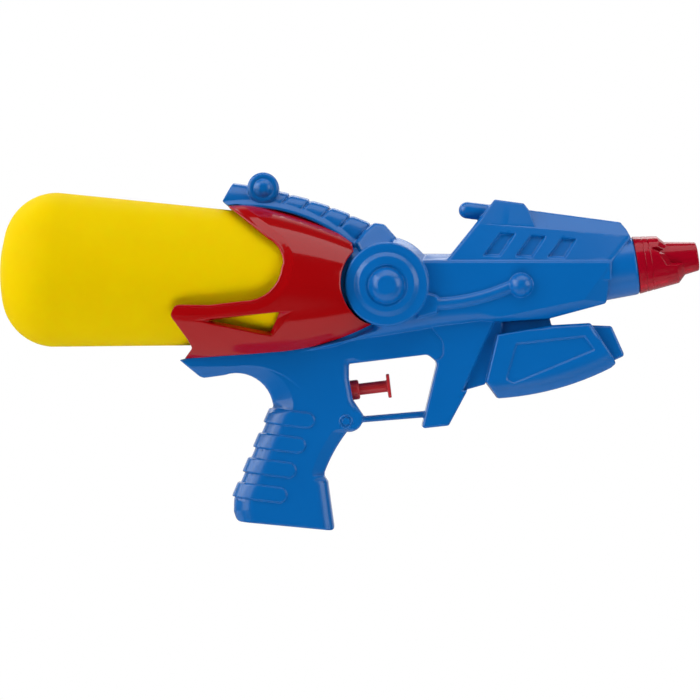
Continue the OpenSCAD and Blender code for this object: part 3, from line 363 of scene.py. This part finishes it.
for s in (-9.4, -20.4):
    saddle = np.maximum(np.maximum(np.abs(run - s) - 1, np.abs(rise) - 9), inner + 1)
    gd[...] = np.minimum(gd, saddle)
bore(gd, run, round_, pump_bore_r, -26.4, -2.45)
bore(gd, run, round_, gland_hole_r, -5, 4)
run, rise = tilted(x, z, collar_at, barrel_tilt)
round_ = np.sqrt(rise**2 + shell.y**2)
bore(d, run, round_, 11.3, -20, -1.95)
bore(d, run, round_, 9.5, -5, 3)
for peg_x, peg_z in pegs:
    post = np.hypot(x - peg_x, z - peg_z)
    d[...] = np.minimum(d, np.maximum(np.maximum(post - post_r, depth - 17.5), 4 - depth))
    d[...] = np.maximum(d, -np.maximum(np.maximum(post - peg_hole_r, depth - 24), 9 - depth))


def trilinear(d, at):
    """Values of a grid between its points."""
    at = np.clip(at, 0, np.array(d.shape) - 1.001)
    i = at.astype(int)
    f = (at - i).astype(np.float32)
    weight = (1 - f, f)
    out = np.zeros(len(at), np.float32)
    for a in (0, 1):
        for b in (0, 1):
            for c in (0, 1):
                w = weight[a][:, 0] * weight[b][:, 1] * weight[c][:, 2]
                out += w * d[i[:, 0] + a, i[:, 1] + b, i[:, 2] + c]
    return out


def field_mesh(name, mould, faces, mirror=False):
    """Skin of a mould in metres, thinned to a number of faces, with normals from the distances."""
    d = mould.d
    # One point in each cell that the skin passes through, at the middle of its crossings of the cell's edges
    solid = d < 0
    near = [(i, j, k) for i in (0, 1) for j in (0, 1) for k in (0, 1)]
    n = np.array(d.shape) - 1
    corner = [solid[i : i + n[0], j : j + n[1], k : k + n[2]] for i, j, k in near]
    filled = sum(c.astype(np.int8) for c in corner)
    cells = np.argwhere((filled > 0) & (filled < 8))
    number = np.full(n, -1, np.int32)
    number[tuple(cells.T)] = np.arange(len(cells))
    value = np.stack([d[tuple((cells + np.array(o)).T)] for o in near], 1)
    point, hits = np.zeros((len(cells), 3)), np.zeros((len(cells), 1))
    for a in range(8):
        for b in range(a + 1, 8):
            step = np.subtract(near[b], near[a])
            if np.abs(step).sum() != 1:
                continue
            va, vb = value[:, a : a + 1], value[:, b : b + 1]
            cross = (va < 0) != (vb < 0)
            t = np.where(cross, va / np.where(cross, va - vb, 1), 0)
            point += np.where(cross, np.array(near[a]) + t * step, 0)
            hits += cross
    point = cells + point / hits
    # One face across each grid line that the skin crosses
    quads = []
    for axis in range(3):
        u, v = [a for a in range(3) if a != axis]
        lo = [slice(1, -1)] * 3
        hi = [slice(1, -1)] * 3
        lo[axis], hi[axis] = slice(0, -1), slice(1, None)
        first, second = solid[tuple(lo)], solid[tuple(hi)]
        at = np.argwhere(first != second)
        outward = first[tuple(at.T)]
        at += np.array([0 if a == axis else 1 for a in range(3)])
        ring = []
        for du, dv in ((-1, -1), (0, -1), (0, 0), (-1, 0)):
            c = at.copy()
            c[:, u] += du
            c[:, v] += dv
            ring.append(number[tuple(c.T)])
        ring = np.stack(ring, 1)
        flip = ~outward if axis != 1 else outward
        ring[flip] = ring[flip][:, ::-1]
        quads.append(ring)
    mesh = bpy.data.meshes.new(name)
    mesh.from_pydata((point * mould.step + mould.lo).tolist(), [], np.concatenate(quads).tolist())
    rough = bpy.data.objects.new(name + "_rough", mesh)
    bpy.context.scene.collection.objects.link(rough)
    total = 2 * len(mesh.polygons)
    if total > faces:
        rough.modifiers.new("thin", "DECIMATE").ratio = faces / total
    fine = bpy.data.meshes.new_from_object(rough.evaluated_get(bpy.context.evaluated_depsgraph_get()))
    fine.name = name
    bpy.data.objects.remove(rough)
    bpy.data.meshes.remove(mesh)
    # The thinned points go back to the skin, and take their normals from the slope of the distances
    co = np.zeros(3 * len(fine.vertices), np.float32)
    fine.vertices.foreach_get("co", co)
    at = (co.reshape(-1, 3) - mould.lo) / mould.step
    normal = np.stack([trilinear(d, at + 0.5 * e) - trilinear(d, at - 0.5 * e) for e in np.eye(3)], 1)
    normal /= np.linalg.norm(normal, axis=1, keepdims=True) + 1e-9
    at = at - trilinear(d, at)[:, None].clip(-0.3 * mould.step, 0.3 * mould.step) * normal / mould.step
    co = (at * mould.step + mould.lo) / 1000
    if mirror:
        co[:, 1] *= -1
        normal[:, 1] *= -1
        fine.flip_normals()
    fine.vertices.foreach_set("co", co.astype(np.float32).ravel())
    fine.polygons.foreach_set("use_smooth", np.ones(len(fine.polygons), bool))
    fine.normals_split_custom_set_from_vertices(normal.tolist())
    fine.update()
    made = bpy.data.objects.new(name, fine)
    bpy.context.scene.collection.objects.link(made)
    return made


def bossed(plain, boss_r, holes):
    """Ends the shell at the seam and adds a boss at each screw; a hole is a radius and two depths."""
    shell.d = np.maximum(plain, seam_gap - depth)
    for sx, sz in screws:
        bx, bz, bd = shell.over(sx - 6, sx + 6, sz - 6, sz + 6)
        skin = shell.over(sx - 6, sx + 6, sz - 6, sz + 6, outer)[2]
        ring = np.hypot(bx - sx, bz - sz)
        bd[...] = np.minimum(bd, np.maximum(np.maximum(ring - boss_r, skin + 1), seam_gap - depth))
        for r, near, far in holes:
            bd[...] = np.maximum(bd, -np.maximum(np.maximum(ring - r, near - depth), depth - far))


# The bosses have a blind hole in the right half and a sunk well for the head in the left half
seam_gap, pilot_r, clear_r, well_r = 0.02, 1.36, 1.45, 2.9
screws = [(-11, -29.8), (23.7, 10.8), (71.5, 15.5), (-16, 37)]
screws += [(120, 40), (118, 67.44), (63, 83.64), (116, 97.04)]
shell_faces = 190000
plain = shell.d
bossed(plain, 3.3, [(pilot_r, -9, 8.5)])
right_shell = field_mesh("right_half_shell", shell, shell_faces)
bossed(plain, 4.2, [(clear_r, -9, 99), (well_r, 4.5, 99)])
left_shell = field_mesh("left_half_shell", shell, shell_faces, mirror=True)
del outer, plain


def linear(code):
    """sRGB hex colour as linear RGBA."""
    c = [int(code[i : i + 2], 16) / 255 for i in (1, 3, 5)]
    return (*[v / 12.92 if v <= 0.04045 else ((v + 0.055) / 1.055) ** 2.4 for v in c], 1)


def add(tree, kind, links=None, **settings):
    """A node with its settings and links; a setting names a socket or a property."""
    node = tree.nodes.new(kind)
    for key, value in settings.items():
        if key.startswith("in_"):
            node.inputs[key[3:].replace("_", " ")].default_value = value
        else:
            setattr(node, key, value)
    for socket, source in (links or {}).items():
        tree.links.new(source, node.inputs[socket])
    return node


def surface(name, colour, rough, spread, tint, grain_mm, bump, **extra):
    """Material whose colour and gloss vary a little in soft clouds, over a fine grain.

    The real grain is finer than 0.1 mm; it is drawn about ten times as coarse, so that it shows."""
    cloud_mm = 18.2
    made = bpy.data.materials.new(name)
    made.use_nodes = True
    tree = made.node_tree
    shader = tree.nodes["Principled BSDF"]
    place = add(tree, "ShaderNodeTexCoord").outputs["Object"]
    cloud = add(tree, "ShaderNodeTexNoise", {"Vector": place}, in_Scale=1000 / cloud_mm, in_Detail=3)
    grain = add(tree, "ShaderNodeTexNoise", {"Vector": place}, in_Scale=1000 / grain_mm, in_Detail=2)
    hue = add(tree, "ShaderNodeValToRGB", {"Fac": cloud.outputs["Fac"]})
    ramp = hue.color_ramp.elements
    ramp[0].color, ramp[1].color = linear(colour), linear(tint)
    ramp[0].position, ramp[1].position = 0.1, 0.9
    gloss = add(tree, "ShaderNodeMapRange", {"Value": cloud.outputs["Fac"]})
    gloss.inputs["To Min"].default_value = rough - spread
    gloss.inputs["To Max"].default_value = rough + spread
    relief = add(tree, "ShaderNodeBump", {"Height": grain.outputs["Fac"]}, in_Strength=bump)
    relief.inputs["Distance"].default_value = 0.00012
    tree.links.new(hue.outputs["Color"], shader.inputs["Base Color"])
    tree.links.new(gloss.outputs["Result"], shader.inputs["Roughness"])
    tree.links.new(relief.outputs["Normal"], shader.inputs["Normal"])
    for key, value in extra.items():
        shader.inputs[key.replace("_", " ")].default_value = value
    return made


# Satin polystyrene: a saturated body colour under a soft, slightly uneven sheen with faint orange peel
blue = surface("blue_polystyrene", "#005ca6", 0.24, 0.03, "#0060ab", 1.11, 0.10, IOR=1.5)
for shell_piece, node in ((right_shell, "right_shell"), (left_shell, "left_shell")):
    shell_piece.data.materials.append(blue)
    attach(shell_piece, "body")
    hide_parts(node)


# Red cheeks. A thin glossy polystyrene skin on each side hugs the tank's front half; pegs on its inside
# press into posts of the shell. A three-cornered window with sloping sides lets the tank show.
skin_t, lip_t, lip_w, peg_r = 1.54, 1.7, 3, 1.28
facet_w, facet_lean, bead = 5, 0.27, 0.28
cheek = Mould((-62, -41, 36), (42, 0, 118), 0.4)
x, z, d = cheek.over(-62, 43, 36, 119)
depth = -cheek.y
bow, bow_r = arc((-58, 39.14), (-4, 36.16), (38, 21.9))[1:]
belly_line = [(a, b + 0.3) for a, b in belly]
crest_line = [(a, b - 0.3) for a, b in crest]
rear_top = [(-29.3, 112.9)] + arc((-9.6, 96.9), (-4.3, 91.6), (-2.75, 85.6), 8)[0]
rear_low = arc((-3.4, 84), (-8.4, 73.2), (-21.1, 68), 8)[0]
arm_end = [(-37, 66.1), (-53, 66.3, 3.5), (-55.5, 61.3, 3), (-47.6, 50, 3), (-45.6, 46, 1.5), (-49.8, 40.8)]
front_arc = arc((35.8, 58.1), (24.1, 76.04), (30.2, 91.3), 14)[0]
cheek_edge = belly_line[1:] + front_arc + crest_line[::-1] + rear_top + rear_low + rounded(arm_end)
flat = outline(cheek_edge, x, z)
rear_side = [(-90, 118), (-30, 118)] + rear_top + rear_low + [(-37, 66.1), (-54, 66.3), (-90, 66)]
rear = outline(rear_side, x, z)
skin_r = np.sqrt(np.maximum(bow_r**2 - (x - bow[0]) ** 2, 0)) + bow[1]
skin_r = skin_r - facet_lean * np.maximum(facet_w - np.maximum(rear, 0), 0)
skin_r = skin_r + bead * np.exp(-(((rear - 0.9) / 0.55) ** 2))
off = z - turret[1] + 0.06 * (x + 20)
fall = np.where(off > 0, 2, 1.65)
level = (np.abs(off) ** fall + np.abs(cheek.y) ** fall) ** (1 / fall)
over = (level - skin_r) * 0.96
wide = outline([(-43.9, 59.0), (1.9, 63.4), (-7.9, 51.4)], x, z)
deep = skin_t + lip_t * np.clip(1 - np.maximum(wide, 0) / lip_w, 0, 1)
share = np.clip((over + deep) / deep, 0, 1)
tight = outline([(-36.5, 58.9), (-4.8, 62.7), (-8.9, 53.7)], x, z)
window = tight + (wide - tight) * share
skin = np.maximum(over + 0.02, -over - deep)
d[...] = meet(meet(skin, np.broadcast_to(flat, d.shape), 0.6), -window, 0.35)
d[...] = np.maximum(d, 5.05 - depth)
for peg_x, peg_z in pegs:
    peg = np.hypot(x - peg_x, z - peg_z)
    d[...] = np.minimum(d, np.maximum(np.maximum(peg - peg_r, 10.8 - depth), over + 0.9))
# Glossy polystyrene: deep red with a clear mirror-like surface that shows the lamps
red = surface("red_polystyrene_gloss", "#960003", 0.09, 0.02, "#9e0005", 1.43, 0.03, IOR=1.49)
cheek_faces = 120000
cheeks = (("right_cheek_skin", "right_cheek", False), ("left_cheek_skin", "left_cheek", True))
for name, node, mirror in cheeks:
    piece = field_mesh(name, cheek, cheek_faces, mirror)
    piece.data.materials.append(red)
    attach(piece, "body")
    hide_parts(node)
del cheek, d, level, over, skin, window


# Water tank. Blow-moulded low-density polyethylene, turned about its neck axis, with a threaded neck that
# screws into the socket; the rear end is drawn in with a large round and a shallow dome.
def as_object(name, built, crease=None):
    """Object from a bmesh, smooth apart from edges sharper than an angle in degrees."""
    mesh = bpy.data.meshes.new(name)
    built.to_mesh(mesh)
    built.free()
    mesh.polygons.foreach_set("use_smooth", np.ones(len(mesh.polygons), bool))
    if crease:
        mesh.set_sharp_from_angle(angle=math.radians(crease))
    made = bpy.data.objects.new(name, mesh)
    bpy.context.scene.collection.objects.link(made)
    return made


def spin(name, profile, at, tilt, sides):
    """Body turned about a rising axis; its closed (station, radius) points in mm may depend on the angle."""
    made = bmesh.new()
    turn = Matrix.Rotation(math.radians(-tilt), 4, "Y")
    ring = []
    for i in range(sides):
        a = math.tau * i / sides
        line = profile(a) if callable(profile) else profile
        points = [turn @ Vector((s, r * math.cos(a), r * math.sin(a))) for s, r in line]
        ring.append([made.verts.new((p + Vector((at[0], 0, at[1]))) / 1000) for p in points])
    for i in range(sides):
        for j in range(len(line)):
            k = (j + 1) % len(line)
            made.faces.new([ring[i][j], ring[i][k], ring[(i + 1) % sides][k], ring[(i + 1) % sides][j]])
    bmesh.ops.remove_doubles(made, verts=made.verts, dist=1e-7)
    bmesh.ops.recalc_face_normals(made, faces=made.faces)
    return as_object(name, made, 35)


def tank_line(off):
    """Stations and radii of the tank's skin, moved inwards."""
    bend = (-32 - 0.4 * off, 14 - off), (-36.6 - off, 24.3 - off), (-43.56 - off, 30.3 - off)
    shoulder = arc(*bend, 14)[0]
    end = arc((-157.56, 36.6 - off), (-173.9 + 0.7 * off, 30.2 - 0.7 * off), (-181.96 + off, 14.6), 24)[0]
    cap = arc((-181.96 + off, 14.6), (-183.1 + off, 8), (-183.5 + off, 0.02), 6)[0][1:]
    straight = [(-43.56 - off - t * (114 - off), 30.3 - off + t * 6.3) for t in np.linspace(0, 1, 40)[1:-1]]
    return shoulder + straight + end + cap


# Four rings on the neck stand for its thread
neck_r, ring_r, neck_bore_r, ring_pitch, tank_wall = 12.4, 12.95, 11.2, 3, 1.4
neck_line = [(-16.6, neck_r - 0.3), (-16.9, neck_r)]
for i in range(4):
    s = -18.4 - ring_pitch * i
    neck_line += [(s, neck_r), (s - 0.6, ring_r), (s - 1.1, ring_r), (s - 1.7, neck_r)]
neck_line += [(-31, neck_r), (-31.6, 13)]
tank_profile = neck_line + tank_line(0) + tank_line(tank_wall)[::-1]
tank_profile += [(-31.8, neck_bore_r), (-16.6, neck_bore_r)]
tank = spin("water_tank_skin", tank_profile, turret, tank_tilt, 160)
# Dull polyethylene: warm, faintly cloudy yellow, light bleeding softly under the surface
yellow = surface(
    "yellow_polyethylene", "#dabc00", 0.6, 0.05, "#d6b600", 1.67, 0.06,
    IOR=1.51, Specular_IOR_Level=0.02, Subsurface_Weight=0.25, Subsurface_Scale=0.003,
)
tank.data.materials.append(yellow)
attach(tank, "tank")
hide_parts("water_tank")


# Muzzle. A transparent crimson polystyrene cap with a stepped crown; a groove behind its flange is held
# between the collars of the two shells. The crown's edge is a list of stations at angles from the side.
crown_at = [-90, -16, -14, -11, -5, 21.5, 27, 28.5, 34, 35.5, 38, 52, 90]
crown_s = [19.5, 18.6, 17.4, 13.7, 13.1, 10.9, 9.3, 7.9, 7.9, 10.7, 11.1, 12.1, 11.8]
sleeve_r, sleeve_taper = 13.75, 0.127
cone_r, cone_taper, step_lean = 11.3, 0.152, 0.9


def muzzle_line(angle):
    """Stations and radii of the cap at one angle round it; the crown's edge rises and falls."""
    lift = math.degrees(math.asin(math.sin(angle)))
    crown = float(np.interp(lift, crown_at, crown_s))
    back = [(-6, 11.13), (-2.12, 11.13), (-2.12, 9.34), (0.06, 9.34)]
    flange = [(0.06, 13.3), (0.2, 13.6), (0.45, 13.69)]
    groove = ((-0.3, 0), (-0.1, 0.2), (0.12, 0.2), (0.35, 0.04))
    rings = [(t + u, sleeve_r - sleeve_taper * t - v) for t in (4, 6.7) for u, v in groove]
    sleeve = [(t, sleeve_r - sleeve_taper * t) for t in np.linspace(7.15, crown - 0.5, 9)]
    r = sleeve_r - sleeve_taper * crown
    edge = [(crown - 0.2, r - 0.02), (crown, r - 0.12), (crown + 0.16, r - 0.32)]
    foot = (crown + step_lean * (r - cone_r + 0.15)) / (1 - step_lean * cone_taper)
    cone = [(t, cone_r - cone_taper * t) for t in np.linspace(foot, 28.8, 9)]
    tip = [(29.2, 6.8), (29.48, 6.55), (29.62, 6.2), (29.7, 4.6)]
    bore_line = [(29.6, 4.45), (26.3, 4.45), (26.3, 3.08), (-6, 3.08)]
    return back + flange + rings + sleeve + edge + cone + tip + bore_line


piece = spin("muzzle_cap", muzzle_line, collar_at, barrel_tilt, 720)
# Clear tinted polystyrene: glossy crimson that glows where light passes through thin edges
crimson = surface(
    "crimson_clear_polystyrene", "#a4001d", 0.13, 0.03, "#ae0021", 1.43, 0.03,
    IOR=1.5, Specular_IOR_Level=0.3, Transmission_Weight=0.3,
)
piece.data.materials.append(crimson)
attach(piece, "body")
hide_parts("muzzle")


# Trigger. A red polypropylene T: a bowed finger plate moulded on a round stem, which slides through the
# gland and ends in a pin that is pressed into the piston.
pin_r, stem_r = 1.53, 2.8
plate_y, plate_h, plate_corner, plate_half = 4.6, 4.3, 1.38, 0.74
trigger = Mould((-13, -7, -7), (21, 7, 7), 0.2)
s, y, h = trigger.x, trigger.y, trigger.z
round_ = np.sqrt(y**2 + h**2)
pin = np.maximum(np.maximum(round_ - pin_r, -11.4 - s), s + 7)
stem = np.maximum(np.maximum(round_ - stem_r, -7.4 - s), s - 18.5)
pad = np.maximum(np.abs(y) - plate_y, 0) ** 2 + np.maximum(np.abs(h) - plate_h, 0) ** 2
bowed = np.abs(s - 18.65 + 0.006 * y**2) - plate_half
plate = meet(np.sqrt(pad) - plate_corner, np.broadcast_to(bowed, trigger.d.shape), 0.5)
trigger.d[...] = join(np.minimum(pin, stem), plate, 0.8)
piece = field_mesh("trigger_pull", trigger, 60000)
pump_turn = Matrix.Rotation(math.radians(-pump_tilt), 4, "Y")
pump_origin = Vector((pump_at[0], 0, pump_at[1]))
piece.data.transform(Matrix.Translation(pump_origin / 1000) @ pump_turn)
# Polypropylene: duller brick red with a soft sheen
brick = surface("red_polypropylene", "#b21f27", 0.36, 0.04, "#ba282e", 1.11, 0.08, IOR=1.49)
piece.data.materials.append(brick)
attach(piece, "trigger_set")
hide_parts("trigger")


# Pump gland. A moulded collar of the same polypropylene, clamped by its flange in the grip's front wall; the
# trigger's stem runs through its bore.
bore_r, collar_r = 2.92, 4.7
gland_line = [(-7, bore_r), (-7, 4.98), (-4.4, 4.98), (-4.4, 6), (-2.6, 6), (-2.6, collar_r)]
gland_line += [(3.6, collar_r), (3.9, 4.6), (4.35, 4.2), (4.5, 3.8), (4.5, 3.1), (4.3, bore_r)]
gland = spin("pump_gland_collar", gland_line, pump_at, pump_tilt, 64)
gland.data.materials.append(brick)
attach(gland, "body")
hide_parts("pump_gland")


# Shell screws. Eight zinc-plated steel self-tapping screws with cross-recessed pan heads, sunk in wells on
# the left side.
shank_r, thread_deep, thread_pitch, head_r = 1.28, 0.3, 1.1, 2.58
screw = Mould((-3, -3, -8.2), (3, 3, 6.6), 0.12)
a, b, c = screw.x, screw.y, screw.z
round_ = np.sqrt(a**2 + b**2)
twist = (np.arctan2(b, a) / math.tau + c / thread_pitch) % 1
shank = np.maximum(round_ - shank_r + thread_deep * np.abs(2 * twist - 1) * (c < 3.6), c - 4.6)
shank = np.maximum(shank, 0.7 * (round_ + 0.7 * (-7.5 - c)))
head = np.sqrt(round_**2 + np.maximum(c - 3.2, 0) ** 2 * 3) - head_r
head = meet(head, np.broadcast_to(np.abs(c - 5.4) - 0.9, head.shape), 0.3)
cross = np.maximum(np.minimum(np.abs(a), np.abs(b)) - 0.38, np.maximum(round_ - 1.6, 5.35 - c))
screw.d[...] = np.maximum(np.minimum(shank, head), -cross)
one = field_mesh("one_screw", screw, 9000)
built = bmesh.new()
for sx, sz in screws:
    copy = one.data.copy()
    aim = Matrix.Rotation(math.radians(-90), 4, "X") @ Matrix.Rotation(0.4 * sx, 4, "Z")
    copy.transform(Matrix.Translation((sx / 1000, 0, sz / 1000)) @ aim)
    built.from_mesh(copy)
    bpy.data.meshes.remove(copy)
bpy.data.objects.remove(one)
screw_set = as_object("shell_screw_set", built)
# Zinc plate: bright grey metal with a finely uneven gloss
steel = surface("zinc_plated_steel", "#b9bcbe", 0.3, 0.08, "#a9adb1", 0.67, 0.15, Metallic=1.0)
screw_set.data.materials.append(steel)
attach(screw_set, "body")
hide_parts("shell_screws")


# Return spring. Seven coils of 0.7 mm zinc-plated steel wire between the piston and the barrel's end; it
# shortens as the trigger is pulled.
wire_r, coil_r, coils = 0.35, 3.7, 7
spring_back, spring_front = -26.4, -11.42
length = spring_front - spring_back
steps, wire_sides = 32, 12
wire = [math.tau * j / wire_sides for j in range(wire_sides)]
spots = [(wire_r * math.cos(b), wire_r * math.sin(b)) for b in wire]
built = bmesh.new()
rings = []
for i in range(coils * steps + 1):
    a = math.tau * i / steps
    out = Vector((0, math.cos(a), math.sin(a)))
    station = spring_back + wire_r + (length - 2 * wire_r) * i / (coils * steps)
    points = [Vector((station + t, 0, 0)) + (coil_r + r) * out for t, r in spots]
    rings.append([built.verts.new((pump_turn @ p + pump_origin) / 1000) for p in points])
for low, high in zip(rings, rings[1:]):
    for j in range(wire_sides):
        k = (j + 1) % wire_sides
        built.faces.new([low[j], low[k], high[k], high[j]])
built.faces.new(rings[0])
built.faces.new(rings[-1])
bmesh.ops.recalc_face_normals(built, faces=built.faces)
spring = as_object("return_coil", built, 50)
spring.data.materials.append(steel)
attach(spring, "body")
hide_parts("return_spring")
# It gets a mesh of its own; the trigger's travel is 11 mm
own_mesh(spring)


# Pieces inside the shells stay as CAD solids: natural polypropylene pump parts pressed together, vinyl hoses
# pushed on their nipples, rubber rings in their grooves and bright steel valve balls.
# Natural polypropylene: milky off-white with a soft glow under the surface
natural = surface(
    "natural_polypropylene", "#e6e6df", 0.4, 0.05, "#dcdcd4", 1.25, 0.08,
    IOR=1.49, Subsurface_Weight=0.2, Subsurface_Scale=0.002,
)
# Clear vinyl: glossy, nearly colourless and see-through
vinyl = surface(
    "clear_vinyl_hose", "#dfe6e8", 0.18, 0.03, "#d3dcdf", 1.43, 0.05,
    IOR=1.53, Transmission_Weight=0.7,
)
# Rubber: dull near-black
rubber = surface("black_rubber", "#232323", 0.6, 0.06, "#2b2b2b", 0.83, 0.2, IOR=1.52)
solids = {
    natural: [
        "tank_socket", "pump_barrel", "piston", "valve_tower",
        "inlet_nipple", "outlet_nipple", "nozzle_jet",
    ],
    vinyl: ["dip_tube", "suction_tube", "delivery_tube"],
    rubber: ["tank_washer", "piston_ring"],
    steel: ["inlet_ball", "outlet_ball"],
}
for material, names in solids.items():
    for name in names:
        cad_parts[name].data.materials.clear()
        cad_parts[name].data.materials.append(material)


# Studio. White paper on a table whose front edge lies before the toy, soft boxes overhead, on both sides and
# at the front left, a strip above and behind that shows only in reflections, and a white wall behind. The
# side of the camera is a dim room, so flat faces keep their own colour.
centre = Vector((0.0285, 0, 0.0451))


def soft_box(name, at, size, power):
    """Rectangular area lamp that looks at the middle of the toy."""
    lamp = bpy.data.lights.new(name, "AREA")
    lamp.shape = "RECTANGLE"
    lamp.size, lamp.size_y = size
    lamp.energy = power
    made = bpy.data.objects.new(name, lamp)
    made.location = at
    made.rotation_euler = (centre - Vector(at)).to_track_quat("-Z", "Y").to_euler()
    bpy.context.scene.collection.objects.link(made)
    return made


soft_box("rear_strip", (0.1, 0.89, 0.85), (2.2, 0.25), 5.2).visible_diffuse = False
soft_box("overhead_box", (0.1, -0.25, 1.05), (2.2, 0.8), 8)
soft_box("left_box", (-1.05, -0.1, 0.55), (1.0, 0.9), 8)
soft_box("right_box", (1.2, -0.45, 0.4), (0.9, 0.8), 5)
soft_box("left_front_box", (-1.75, -1.45, 0.7), (1.5, 2.2), 17)
# Four fills, as if through polarising screens, light the colours and leave no mirror image
fills = [
    soft_box("left_fill", (-1.4, -0.9, 0.1), (0.8, 0.8), 5),
    soft_box("right_fill", (1.75, -1.2, 0.2), (1.0, 1.2), 6),
    soft_box("low_fill", (-0.25, -0.5, -0.85), (2.4, 0.5), 18.5),
    soft_box("top_fill", (0.1, -0.7, 1.5), (2, 1), 9),
]
for fill in fills:
    fill.visible_glossy = False

floor_z, floor_front, reach = -0.2, -0.12, 4
mesh = bpy.data.meshes.new("studio_floor")
corners = [(-reach, floor_front), (reach, floor_front), (reach, reach), (-reach, reach)]
mesh.from_pydata([(a, b, floor_z) for a, b in corners], [], [(0, 1, 2, 3)])
floor = bpy.data.objects.new("studio_floor", mesh)
bpy.context.scene.collection.objects.link(floor)
# White paper: matt and faintly mottled. Real fibres are far finer; they are drawn at 3 mm, so that they show
fibre_mm = 3.33
paper = bpy.data.materials.new("white_paper_sweep")
paper.use_nodes = True
tree = paper.node_tree
shader = tree.nodes["Principled BSDF"]
place = add(tree, "ShaderNodeTexCoord").outputs["Object"]
fibre = add(tree, "ShaderNodeTexNoise", {"Vector": place}, in_Scale=1000 / fibre_mm)
shade = add(tree, "ShaderNodeValToRGB", {"Fac": fibre.outputs["Fac"]})
ramp = shade.color_ramp.elements
ramp[0].color, ramp[1].color = linear("#bfbfbf"), linear("#c8c8c8")
tree.links.new(shade.outputs["Color"], shader.inputs["Base Color"])
shader.inputs["Roughness"].default_value = 0.9
# Away from the middle of the toy's shadow the camera sees the paper as plain white
away = add(tree, "ShaderNodeVectorMath", {0: place}, operation="DISTANCE")
away.inputs[1].default_value = (0.03, 0.22, floor_z)
fade_from, fade_to = 0.12, 0.34
far = add(
    tree, "ShaderNodeMapRange", {"Value": away.outputs["Value"]},
    in_From_Min=fade_from, in_From_Max=fade_to, in_To_Min=0.8,
)
path = add(tree, "ShaderNodeLightPath")
shown = {0: path.outputs["Is Camera Ray"], 1: path.outputs["Is Transmission Ray"]}
direct = add(tree, "ShaderNodeMath", shown, operation="MAXIMUM")
share = add(tree, "ShaderNodeMath", {0: far.outputs["Result"], 1: direct.outputs[0]}, operation="MULTIPLY")
glow = add(tree, "ShaderNodeEmission", in_Color=(1, 1, 1, 1), in_Strength=1)
pick = add(tree, "ShaderNodeMixShader", {0: share.outputs[0], 1: shader.outputs[0], 2: glow.outputs[0]})
tree.links.new(pick.outputs[0], tree.nodes["Material Output"].inputs["Surface"])
floor.data.materials.append(paper)

# The wall behind lights the toy and shows in its gloss; the camera sees plain white all round
world = bpy.data.worlds.new("white_studio")
bpy.context.scene.world = world
world.use_nodes = True
tree = world.node_tree
ray = add(tree, "ShaderNodeSeparateXYZ", {0: add(tree, "ShaderNodeTexCoord").outputs["Generated"]})
backdrop = add(
    tree, "ShaderNodeMapRange", {"Value": ray.outputs["Y"]},
    in_From_Min=0.5, in_From_Max=0.8, in_To_Min=0.03, in_To_Max=1.0,
)
room = tree.nodes["Background"]
tree.links.new(backdrop.outputs["Result"], room.inputs["Strength"])
room.inputs["Color"].default_value = (1, 1, 1, 1)
seen = add(tree, "ShaderNodeBackground", in_Color=(1, 1, 1, 1), in_Strength=1)
path = add(tree, "ShaderNodeLightPath")
shown = {0: path.outputs["Is Camera Ray"], 1: path.outputs["Is Transmission Ray"]}
direct = add(tree, "ShaderNodeMath", shown, operation="MAXIMUM")
glossy = {0: path.outputs["Is Glossy Ray"], 1: backdrop.outputs["Result"]}
mirrored = add(tree, "ShaderNodeMath", glossy, operation="MULTIPLY")
white = add(tree, "ShaderNodeMath", {0: direct.outputs[0], 1: mirrored.outputs[0]}, operation="MAXIMUM")
pick = add(tree, "ShaderNodeMixShader", {0: white.outputs[0], 1: room.outputs[0], 2: seen.outputs[0]})
tree.links.new(pick.outputs[0], tree.nodes["World Output"].inputs["Surface"])

camera = bpy.data.cameras.new("photo_camera")
camera.lens, camera.sensor_width = 180, 36
eye_away = 1.6625
eye = bpy.data.objects.new("photo_camera", camera)
eye.location = centre - Vector((0, eye_away, 0))
eye.rotation_euler = (math.radians(90), 0, 0)
camera.clip_start, camera.clip_end = 0.05, 30
bpy.context.scene.collection.objects.link(eye)
bpy.context.scene.camera = eye
bpy.context.scene.view_settings.view_transform = "Standard"
